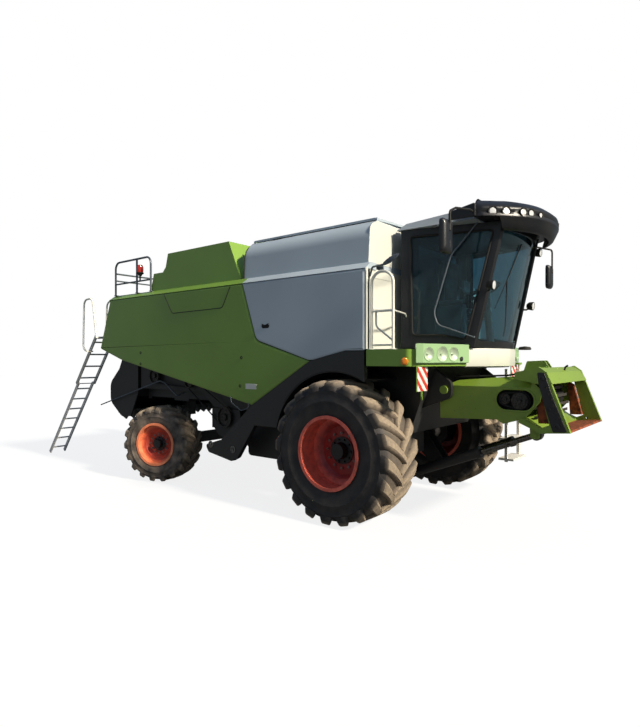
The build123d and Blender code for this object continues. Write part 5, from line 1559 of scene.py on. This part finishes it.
@dataclass
class Body:
    """Paint and fittings of the bin, hoods, arches, rails and chassis."""

    bosses: Sequence[Point] = ((-2.270, 0.760), (-1.790, 0.730))
    drives: Sequence[tuple[Point, float]] = (((-2.450, 1.110), 0.165), ((-3.330, 1.640), 0.105),
                                             ((-4.300, 1.720), 0.140))

    def bulkhead(self, shop: Workshop) -> None:
        """The bin's front drawn white, a painted highlight for its sunlit face, with white posts, also
        painted highlight, that close the panels' front edges, and black strips of painted shade beside them.
        """
        # painted highlight: a white skin over the bin's front wall
        skin = Form().box((0.4502, 0.4560), (-1.500, 1.500), (2.127, 3.075), 0.003)
        for z in (2.60, 2.97):
            skin.box((0.4555, 0.4600), (-1.46, -0.96), (z, z + 0.012), 0.002)
        shop.piece("bulkhead_skin", skin, Finish.WHITE)
        # painted highlight: the posts drawn white as the panels' sunlit front hems
        posts = Form().prism(Lay.PLAN,
                             [(0.4565, -1.590, 0.006), (0.476, -1.590, 0.006), (0.476, -1.556, 0.004),
                                        (0.4565, -1.556)], 2.128, 3.075).mirrored()
        shop.piece("bulkhead_posts", posts, Finish.WHITE)
        # painted shade: black strips for the shaded gap between the posts and the bin's front
        gap_shades = Form().box((0.4565, 0.466), (-1.552, -1.508), (2.128, 3.06), 0.003).mirrored()
        shop.piece("bulkhead_seals", gap_shades, Finish.SEAL)
        # painted highlight: the bin's upper front drawn white too
        front = [(-1.466, 3.155), (-1.435, 3.608, 0.255), (-1.280, 3.676), (1.146, 3.676), (1.146, 3.155)]
        shop.piece("bin_front_skin", Form().prism(Lay.CROSS, front, 0.4202, 0.4240, 0.001), Finish.WHITE)

    def bin_trim(self, shop: Workshop) -> None:
        """The dark hinge bar, its bracket and the seams of the bin."""
        form = Form().tube([(-1.324, -1.262, 3.694), (0.400, -1.262, 3.694)], 0.012, 10)
        form.prism(Lay.SIDE, [(-1.30, 3.684), (-1.20, 3.688), (-1.12, 3.688), (-1.21, 3.640, 0.01)], -1.300,
                   -1.285, 0.002)
        form.tube([(-1.690, -1.474, 3.150), (-1.690, -1.464, 3.44, 0.2), (-1.690, -1.430, 3.570, 0.2),
                   (-1.690, -1.292, 3.676)], 0.0065, 8)
        form.mirrored()
        shop.piece("bin_hinge_bars", form, Finish.SEAL)
        for name, along, finish in (("front", (-1.600, 0.450), Finish.SILVER),
                                    ("rear", (-5.030, -1.6005), Finish.GREEN)):
            filler = Form().box(along, (-1.600, -1.592), (3.0645, 3.0706), 0.002).mirrored()
            shop.piece("belt_filler_" + name, filler, finish)

    def hood_details(self, shop: Workshop) -> None:
        """The radiator grille on the hood's left side and the air intake on its top."""
        slat = Form().prism(Lay.CROSS, [(1.152, 3.20), (1.166, 3.192), (1.168, 3.198), (1.154, 3.210)], -3.38,
                            -2.20)
        slats = shop.grown(Repeat.ROW, slat, Finish.CHASSIS, Count=18, Step=(0.0, 0.0, 0.0265))
        shop.piece("radiator_slats", slats, Finish.CHASSIS)
        rim = [(-3.42, 3.17), (-2.16, 3.17), (-2.16, 3.70), (-3.42, 3.70)]
        path = [(x, 1.158, z) for x, z in rim + rim[:2]]
        shop.piece("radiator_rim", Form().tube(path, 0.012, 8), Finish.GREEN)
        stack = Form().turned([(0.0, 0.0), (0.085, 0.0), (0.085, 0.03), (0.06, 0.045), (0.06, 0.075),
                               (0.075, 0.090), (0.0, 0.100)], (-2.45, 0.55, 3.731), (0, 0, 1), 28)
        shop.piece("air_intake_cap", stack, Finish.CHASSIS)

    def arch_details(self, shop: Workshop) -> None:
        """The bolted bosses at the arm's foot, the fender lip and the drives inside it."""
        form = Form()
        for x, z in self.bosses:
            form.turned([(0.0, -0.001), (0.050, -0.001), (0.050, 0.006), (0.036, 0.008), (0.034, 0.003),
                         (0.022, 0.003), (0.020, 0.014), (0.0, 0.016)], (x, -1.600, z), (0, -1, 0), 24)
        shop.piece("arm_bosses", form.mirrored(), Finish.STEEL)
        turns = [math.radians(a) for a in range(-14, 151, 5)]
        lip = [(0.985 * math.cos(a), -1.594, 0.881 + 0.985 * math.sin(a)) for a in turns]
        lip = [p for p in lip if -0.93 < p[0] < 0.448]
        shop.piece("arch_lips", Form().tube(lip, 0.009, 8).mirrored(), Finish.SEAL)
        pulleys, belts = Form(), Form()
        for (x, z), radius in self.drives:
            pulleys.turned([(0.0, -0.002), (radius * 0.3, -0.002), (radius * 0.32, -0.006),
                            (radius * 0.8, -0.006),
                            (radius * 0.86, -0.002), (radius, -0.002), (radius, 0.008),
                            (radius * 0.90, 0.016),
                            (radius * 0.90, 0.022), (radius, 0.030), (radius, 0.038), (radius * 0.84, 0.038),
                            (radius * 0.80, 0.014), (radius * 0.34, 0.014), (radius * 0.30, 0.040),
                            (0.0, 0.040)],
                           (x, -1.158, z), (0, -1, 0), 36)
        for (first, r1), (second, r2) in zip(self.drives, self.drives[1:]):
            belts.tube(self.belt_line(first, r1 * 0.9, second, r2 * 0.9), 0.010, 8)
        shop.piece("drive_pulleys", pulleys.mirrored(), Finish.DARK_STEEL)
        shop.piece("drive_belts", belts.mirrored(), Finish.SEAL)

    @staticmethod
    def belt_line(first: Point, r1: float, second: Point, r2: float) -> list[Point]:
        """A closed run round two pulleys, in their shared plane."""
        a, b = Vector(first), Vector(second)
        along = (b - a).normalized()
        heading = math.atan2(along.y, along.x)
        lean = math.asin((r1 - r2) / (b - a).length)
        out = []
        for centre, radius, start, sweep in ((a, r1, heading + math.pi / 2 - lean, math.pi + 2 * lean),
                                             (b, r2, heading - math.pi / 2 + lean, math.pi - 2 * lean)):
            for k in range(13):
                turn = start + sweep * k / 12
                out.append((centre.x + radius * math.cos(turn), -1.180, centre.y + radius * math.sin(turn)))
        return out + out[:2]

    def rear_details(self, shop: Workshop) -> None:
        """The guard rod over the rear wheel, chopper blades and the signal lamp on the fence."""
        rod = Form().tube([(-6.05, -1.20, 1.12), (-4.10, -1.20, 1.637, 0.15), (-3.95, -1.20, 1.60, 0.15),
                           (-3.62, -1.20, 1.394)], 0.012, 8)
        rod.tube([(-3.62, -1.20, 1.394), (-3.60, -1.05, 1.45)], 0.012, 8).mirrored()
        shop.piece("rear_guard_rods", rod, Finish.GALVANISED)
        vane = Form().prism(Lay.SIDE, [(-5.74, 0.98), (-5.46, 0.86, 0.02), (-5.30, 1.00), (-5.62, 1.14)],
                            -1.02, -1.008)
        vanes = shop.grown(Repeat.ROW, vane, Finish.CHASSIS, Count=14, Step=(0.0, 0.1565, 0.0))
        shop.piece("chopper_vanes", vanes, Finish.CHASSIS)
        lamp = Form().turned([(0.0, 0.0), (0.052, 0.002), (0.056, 0.03), (0.056, 0.09), (0.040, 0.125),
                              (0.0, 0.135)],
                             (-4.245, -1.495, 3.495), (0, 0, 1), 28)
        shop.piece("signal_lamp_dome", lamp, Finish.RED)
        base = Form().turned([(0.0, 0.0), (0.030, 0.0), (0.034, 0.02), (0.060, 0.035), (0.062, 0.052),
                              (0.0, 0.054)],
                             (-4.245, -1.495, 3.440), (0, 0, 1), 28)
        base.tube([(-4.245, -1.495, 3.44), (-4.245, -1.495, 3.355)], 0.014, 8)
        shop.piece("signal_lamp_base", base, Finish.SEAL)
        tail = Form().box((-5.372, -5.340), (-1.50, -1.36), (2.30, 2.39), 0.006)
        shop.piece("tail_lamp_bodies", tail.mirrored(), Finish.SEAL)
        lens = Form().box((-5.378, -5.3725), (-1.49, -1.37), (2.31, 2.38), 0.002)
        shop.piece("tail_lamp_lenses", lens.mirrored(), Finish.RED)

    def front_rails(self, shop: Workshop) -> None:
        """The inner rail, bars and feet of the handrail beside the cab, and its stalked marker."""
        y = -1.550
        form = Form().tube([(0.580, y, 2.555), (0.585, y, 2.380, 0.08), (0.800, y, 2.225)], 0.011, 10)
        form.tube([(0.524, y, 2.170), (0.806, y, 2.170)], 0.011, 10)
        form.tube([(0.815, y, 2.560), (0.760, -1.20, 2.545), (0.640, -0.965, 2.530)], 0.010, 10)
        for x in (0.520, 0.810):
            form.turned([(0.0, 0.0), (0.045, 0.0), (0.045, 0.006), (0.024, 0.010), (0.0, 0.012)],
                        (x, y, 2.1205), (0, 0, 1), 20)
        shop.piece("front_rail_bars", form, Finish.WHITE)
        marker = Form().tube([(0.462, -1.50, 2.98), (0.500, -1.50, 3.085, 0.04), (0.640, -1.50, 3.095)],
                             0.012, 8)
        rings = []
        for k in range(13):
            t = k / 12
            wide = 0.001 + 0.030 * math.sin(math.pi * t) ** 0.6
            at = Vector((0.630 + 0.230 * t, -1.50, 3.090 + 0.105 * t))
            rings.append([at + wide * Vector((-0.4 * math.sin(a), 0.5 * math.cos(a), math.sin(a)))
                          for a in about(12)])
        marker.loft(rings)
        shop.piece("stalked_marker", marker, Finish.GALVANISED)

    def mirrors(self, shop: Workshop) -> None:
        """Mirror heads with rounded backs, their arms and glasses; the left arm clears the door."""
        x, y, low, high = 1.515, -1.740, 3.075, 3.425
        rings = []
        for ahead, pull in ((0.0, 0.010), (0.004, 0.002), (0.030, 0.0), (0.052, 0.012), (0.066, 0.034),
                            (0.070, 0.060)):
            half, cut = 0.108 - pull, 0.045
            corners = [(y - half, low + pull, cut), (y + half, low + pull, cut), (y + half, high - pull, cut),
                       (y - half, high - pull, cut)]
            rings.append([Lay.CROSS.point(*p, x + ahead) for p in rounded(corners)])
        heads = Form().loft(rings)
        for z in (low + 0.09, high - 0.09):
            heads.tube([(x + 0.062, y, z - 0.03), (x + 0.062, y, z + 0.03)], 0.018, 10)
        shop.piece("mirror_heads", heads.mirrored(), Finish.BLACK, replaces=("mirrors",), smooth=40)
        right = Form().tube([(1.500, -0.990, 3.668), (1.548, -1.180, 3.640, 0.05),
                             (1.582, -1.600, 3.560, 0.10),
                             (1.584, -1.740, 3.500, 0.05), (1.584, -1.740, 3.300)], 0.013, 10)
        shop.piece("mirror_arm_right", right, Finish.SEAL, replaces=("mirrors",))
        left = Form().tube([(1.330, 0.998, 3.670), (1.330, 1.120, 3.670, 0.05), (1.584, 1.740, 3.650, 0.05),
                            (1.584, 1.740, 3.300)], 0.013, 10)
        shop.piece("mirror_arm_left", left, Finish.SEAL, replaces=("mirrors",))
        half = 0.092
        corners = [(y - half, low + 0.02), (y + half, low + 0.02), (y + half, high - 0.02),
                   (y - half, high - 0.02)]
        glass = Form().prism(Lay.CROSS, [(*p, 0.04) for p in corners], x - 0.003, x + 0.001, 0.001)
        shop.piece("mirror_glasses", glass.mirrored(), Finish.MIRROR)

    def auger_details(self, shop: Workshop) -> None:
        """Clamp bands round the unloading tube, and the rubber spout."""
        band = Form().turned([(0.191, -0.022), (0.205, -0.022), (0.205, 0.022), (0.191, 0.022)],
                             (-0.9, 1.385, 3.370), (1, 0, 0), 40)
        bands = shop.grown(Repeat.ROW, band, Finish.STEEL, Count=4, Step=(-1.35, 0.0, 0.0))
        shop.piece("auger_bands", bands, Finish.STEEL, "auger")
        spout = Form().turned([(0.168, 0.0), (0.176, 0.0), (0.182, -0.16), (0.176, -0.235), (0.164, -0.235),
                               (0.170, -0.16)], (-5.050, 1.385, 3.190), (0, 0, 1), 36)
        shop.piece("auger_spout_sleeve", spout, Finish.SEAL, "auger")

    def build(self, shop: Workshop) -> None:
        """Dresses the body."""
        shop.paint(Finish.GREEN, "belt_rear", "rear_deck")
        # painted highlight: the hood and auger tube take the lighter copy of the green
        shop.paint(Finish.GREEN_LIT, "engine_hood", "auger_tube")
        shop.paint(Finish.SILVER, "belt_front", "grain_tank", "tank_lid_right", "tank_lid_left")
        # Painted shade: the threshing body takes the chassis black for the shade under the deck.
        shop.paint(Finish.CHASSIS, "chassis_frame", "front_axle", "rear_axle", "knuckle_right",
                   "knuckle_left",
                   "tie_rod", "engine", "straw_hood", "lift_barrel_right", "lift_barrel_left", "side_covers",
                   "threshing_body")
        shop.paint(Finish.BLACK, "wheel_arches")
        shop.paint(LADDER.make(), "ladder_top")
        shop.paint(Finish.ALUMINIUM, "ladder_foot", "access_ladder")
        shop.paint(Finish.CHROME, "lift_rod_right", "lift_rod_left")
        shop.paint(RAILS.make(), "handrails")
        for dress in (self.bulkhead, self.bin_trim, self.hood_details, self.arch_details, self.rear_details,
                      self.front_rails, self.mirrors, self.auger_details):
            dress(shop)


@dataclass
class Feeder:
    """The feeder house: worn green duct and frame, chain drive in its oval opening, rusty mouth."""

    half: float = 0.700
    oval: Sequence[Point] = ((1.665, 1.432), (2.093, 1.668))
    drum: Point = (1.930, 1.540)
    sprocket: Point = (1.762, 1.556)

    def oval_line(self, grow: float, steps: int = 12) -> list[Point]:
        """The outline of the drive opening, grown by a distance."""
        (x0, z0), (x1, z1) = self.oval
        radius = (z1 - z0) / 2
        middle = (z0 + z1) / 2
        out = []
        for x, start in ((x1 - radius, -90), (x0 + radius, 90)):
            for k in range(steps + 1):
                turn = math.radians(start + 180 * k / steps)
                out.append((x + (radius + grow) * math.cos(turn), middle + (radius + grow) * math.sin(turn)))
        return out

    def round_oval(self, section: Sequence[Point]) -> Form:
        """A ring round the drive opening, from (how far out, how far behind the wall) points."""
        return Form().loft([[Vector((x, behind - self.half, z)) for x, z in self.oval_line(grow)]
                            for grow, behind in section], loop=True)

    def rim(self) -> Form:
        """The rolled rim round the drive opening."""
        return self.round_oval([(0.016, 0.0), (0.016, -0.006), (0.008, -0.010), (-0.004, -0.008),
                                (-0.006, -0.001), (0.004, 0.0)])

    def shade_pan(self) -> Form:
        """A black pan behind the drive opening: painted shade for the dark inside of the opening."""
        return self.round_oval([(0.0, 0.0125), (0.012, 0.0125), (0.012, 0.100), (-0.110, 0.101),
                                (-0.110, 0.096), (0.004, 0.094)])

    def drive(self) -> tuple[Form, Form]:
        """Sprockets and their chain in the drive opening."""
        x, z = self.drum
        y = -self.half + 0.028
        radius = 0.060
        wheels = Form().turned([(0.0, 0.0), (radius, 0.0), (radius, 0.012), (radius * 0.7, 0.014),
                                (radius * 0.66, 0.006), (radius * 0.34, 0.006), (radius * 0.3, 0.024),
                                (0.0, 0.026)],
                               (self.sprocket[0], y, self.sprocket[1]), (0, -1, 0), 24)
        wheels.turned([(0.0, 0.0), (0.070, 0.0), (0.072, 0.010), (0.030, 0.012), (0.026, 0.030),
                       (0.0, 0.032)],
                      (x, -self.half - 0.0085, z), (0, -1, 0), 28)
        line = Body.belt_line(self.sprocket, 0.068, self.drum, 0.096)
        return wheels, Form().tube([(p[0], y - 0.016, p[2]) for p in line], 0.010, 8, 0.8)

    def mouth(self) -> Form:
        """The rusty side plates inside the mouth."""
        form = Form()
        form.prism(Lay.SIDE, [(2.120, 1.300), (2.262, 1.306), (2.160, 1.690), (2.090, 1.700)], -0.652, -0.640,
                   0.002)
        form.prism(Lay.SIDE, [(2.245, 1.306), (2.264, 1.308), (2.160, 1.695), (2.142, 1.690)], -0.690, -0.652,
                   0.002)
        return form.mirrored()

    def latch(self) -> Form:
        """The black latch plates on the frame's sides, which lock a header on, with their pivots."""
        band = [(2.135, 1.868, 0.02), (2.212, 1.862, 0.02), (2.300, 1.600), (2.446, 1.236, 0.02),
                (2.300, 1.226, 0.02), (2.205, 1.530), (2.152, 1.735)]
        form = Form().prism(Lay.SIDE, band, -0.7535, -0.7455, 0.002)
        for x, z, radius in ((2.186, 1.800, 0.026), (2.262, 1.470, 0.020), (2.345, 1.290, 0.030)):
            form.turned([(0.0, 0.0), (radius, 0.0), (radius, 0.010), (radius * 0.6, 0.013),
                         (radius * 0.5, 0.004), (0.0, 0.004)], (x, -0.7535, z), (0, -1, 0), 20)
        return form.mirrored()

    def slats(self) -> Form:
        """The toothed bars of the feeder chain that show in the mouth."""
        form = Form()
        for x, z in ((2.085, 1.360), (2.100, 1.450), (2.075, 1.545), (2.035, 1.640)):
            form.prism(Lay.SIDE,
                       [(x - 0.03, z), (x + 0.015, z), (x + 0.015, z + 0.034), (x + 0.010, z + 0.034),
                                  (x + 0.008, z + 0.006), (x - 0.03, z + 0.006)], -0.60, 0.60)
        return form

    def chain_band(self) -> Form:
        """A black band round the front drum and back into the duct: partly the feeder chain that runs there,
        partly painted shade that closes the view into the mouth.
        """
        x, z = self.drum
        turns = [math.radians(a) for a in range(-90, 91, 12)]
        outer = [(1.40, z - 0.128)] + [(x + 0.128 * math.cos(a), z + 0.128 * math.sin(a)) for a in turns]
        inner = [(x + 0.119 * math.cos(a), z + 0.119 * math.sin(a))
                 for a in reversed(turns)] + [(1.40, z - 0.119)]
        return Form().prism(Lay.SIDE, outer + inner, -0.600, 0.600)

    def top(self) -> Form:
        """The bracket behind the beam: two cheeks and the bars between them."""
        cheek = [(1.745, 1.820), (1.800, 1.985, 0.02), (2.010, 1.995, 0.02), (2.080, 1.890)]
        form = Form().prism(Lay.SIDE, cheek, -0.060, -0.046, 0.003).prism(Lay.SIDE, cheek, 0.046, 0.060,
                                                                          0.003)
        for x in (1.83, 1.99):
            form.tube([(x, -0.05, 1.95), (x, 0.05, 1.95)], 0.014, 10)
        return form

    def hook(self) -> Form:
        """The hook that stands on the frame's beam."""
        return Form().tube([(2.205, 0.05, 1.868), (2.215, 0.05, 1.915, 0.02), (2.245, 0.05, 1.935)], 0.011, 8)

    def hoses(self) -> Form:
        """The two hydraulic lines clipped along the duct's upper edge."""
        form = Form()
        for rise in (0.0, 0.028):
            form.tube([(1.12, -0.600 + rise, 1.795), (1.30, -0.585 + rise, 1.800, 0.1),
                       (1.75, -0.585 + rise, 1.822, 0.1), (1.92, -0.62 + rise, 1.850)], 0.011, 8)
        return form

    def bolt_places(self) -> list[Point]:
        """Bolts down the frame's side plates."""
        line = [Vector((2.230, 1.700)).lerp(Vector((2.385, 1.320)), k / 6) for k in range(7)]
        return [(p.x, -0.7535, p.y) for p in line]

    def build(self, shop: Workshop) -> None:
        """Dresses the feeder house."""
        shop.paint(Finish.GREEN_WORN, "feeder_house")
        shop.paint(Finish.RUST, "feeder_sill")
        shop.paint(Finish.DARK_STEEL, "feeder_drum")
        wheels, chain = self.drive()
        for name, form, finish in (
            ("drive_opening_rim", self.rim(), Finish.GREEN_WORN),
            # painted shade: a black pan in the drive opening
            ("drive_pan", self.shade_pan(), Finish.SEAL),
            ("drive_sprockets", wheels, Finish.DARK_STEEL),
            ("drive_chain", chain, Finish.SEAL),
            ("mouth_cheeks", self.mouth(), Finish.RUST),
            ("header_latches", self.latch(), Finish.BLACK),
            # painted shade: a black band that closes the view into the mouth
            ("chain_band", self.chain_band(), Finish.SEAL),
            ("chain_slats", self.slats(), Finish.STEEL),
            ("top_bracket", self.top(), Finish.GREEN_WORN),
            ("beam_hook", self.hook(), Finish.SEAL),
            ("feeder_hoses", self.hoses(), Finish.SEAL),
        ):
            shop.piece(name, form, finish, "feeder")
        for name, side in (("right", -1), ("left", 1)):
            places = [(x, y * -side, z) for x, y, z in self.bolt_places()]
            bolts = shop.bolts(places, (0, side, 0), Finish.DARK_STEEL)
            shop.piece("frame_bolts_" + name, bolts, Finish.DARK_STEEL, "feeder")


# ---- studio
@dataclass
class Studio:
    """Camera, pale floor and soft light."""

    eye: Point = (6.493, -6.826, 2.003)
    turn: Point = (math.radians(89.6), 0.0, math.radians(38.86))
    lens: float = 26.95
    sun_from: Point = (0.80, -0.01, 0.50)
    sun: float = 5.8
    sun_tint: str = "#fff4e0"
    sun_angle: float = math.radians(5)
    sky: float = 0.32
    sky_tint: str = "#bcd6ff"
    horizon_tint: str = "#dcebea"
    through: float = 0.34

    def camera(self) -> None:
        """Sets up the camera."""
        data = bpy.data.cameras.new("camera")
        data.lens = self.lens
        data.sensor_fit = "VERTICAL"
        data.sensor_height = 36.0
        camera = placed("camera", data)
        camera.location = self.eye
        camera.rotation_euler = self.turn
        bpy.context.scene.camera = camera

    def world(self) -> None:
        """White to the eye, dimmer through glass, and a soft blue-grey sky to everything that it lights."""
        world = bpy.data.worlds.new("studio")
        world.use_nodes = True
        tree = world.node_tree
        tree.nodes.clear()
        rays = add(tree, "ShaderNodeLightPath").outputs
        power = add(tree, "ShaderNodeMapRange", {"Value": rays["Is Transmission Ray"], "To Min": self.sky,
                                                 "To Max": self.through})
        lift = add(tree, "ShaderNodeSeparateXYZ", [add(tree, "ShaderNodeTexCoord").outputs["Generated"]])
        rise = add(tree, "ShaderNodeMapRange", {"Value": lift.outputs["Z"], "From Max": 0.55})
        colours = {0: rise, 6: linear(self.horizon_tint), 7: linear(self.sky_tint)}
        tint = add(tree, "ShaderNodeMix", colours, data_type="RGBA")
        sky = add(tree, "ShaderNodeBackground", [tint, power])
        white = add(tree, "ShaderNodeBackground", [linear("#ffffff"), 1.0])
        light = add(tree, "ShaderNodeMixShader", [rays["Is Camera Ray"], sky, white])
        add(tree, "ShaderNodeOutputWorld", {"Surface": light})
        bpy.context.scene.world = world

    def floor(self) -> None:
        """A wide pale floor that keeps the machine's shadow."""
        form = Form().turned([(0.0, -0.02), (60.0, -0.02), (60.0, 0.0), (0.0, 0.0)], (0, 0, 0), (0, 0, 1), 48)
        data = form.mesh("floor")
        s = Surface("pale_floor")
        rays = s.add("LightPath")
        s.feed(Base_Color=linear("#66686a"), Roughness=0.95, Emission_Color=linear("#ffffff"),
               Emission_Strength=s.add("Math", [rays.outputs["Is Camera Ray"], 0.84], operation="MULTIPLY"),
               Normal=s.add("Bump", {"Height": s.grain(0.02, 3), "Distance": 0.0002}))
        data.materials.append(s.material)
        placed("floor", data)

    def light(self) -> None:
        """One large soft sun from the front and above."""
        data = bpy.data.lights.new("key", "SUN")
        data.energy = self.sun
        data.color = linear(self.sun_tint)[:3]
        data.angle = self.sun_angle
        key = placed("key", data)
        key.rotation_euler = Vector(self.sun_from).to_track_quat("Z", "Y").to_euler()

    def build(self) -> None:
        """Sets up the whole studio."""
        self.camera()
        self.world()
        self.floor()
        self.light()
        bpy.context.scene.view_settings.view_transform = "Standard"


def main() -> None:
    """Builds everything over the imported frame."""
    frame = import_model()
    Studio().build()
    shop = Workshop(frame)
    for part in (FRONT, REAR, SidePanels(), Visor(), Cab(), Fascia(), Body(), Feeder()):
        LOG.info("building %s", type(part).__name__)
        part.build(shop)
    LOG.info("%d pieces", shop.count)
    bpy.context.view_layer.update()


if __name__ == "__main__":
    logging.basicConfig(level=logging.INFO, format="%(message)s")
    main()
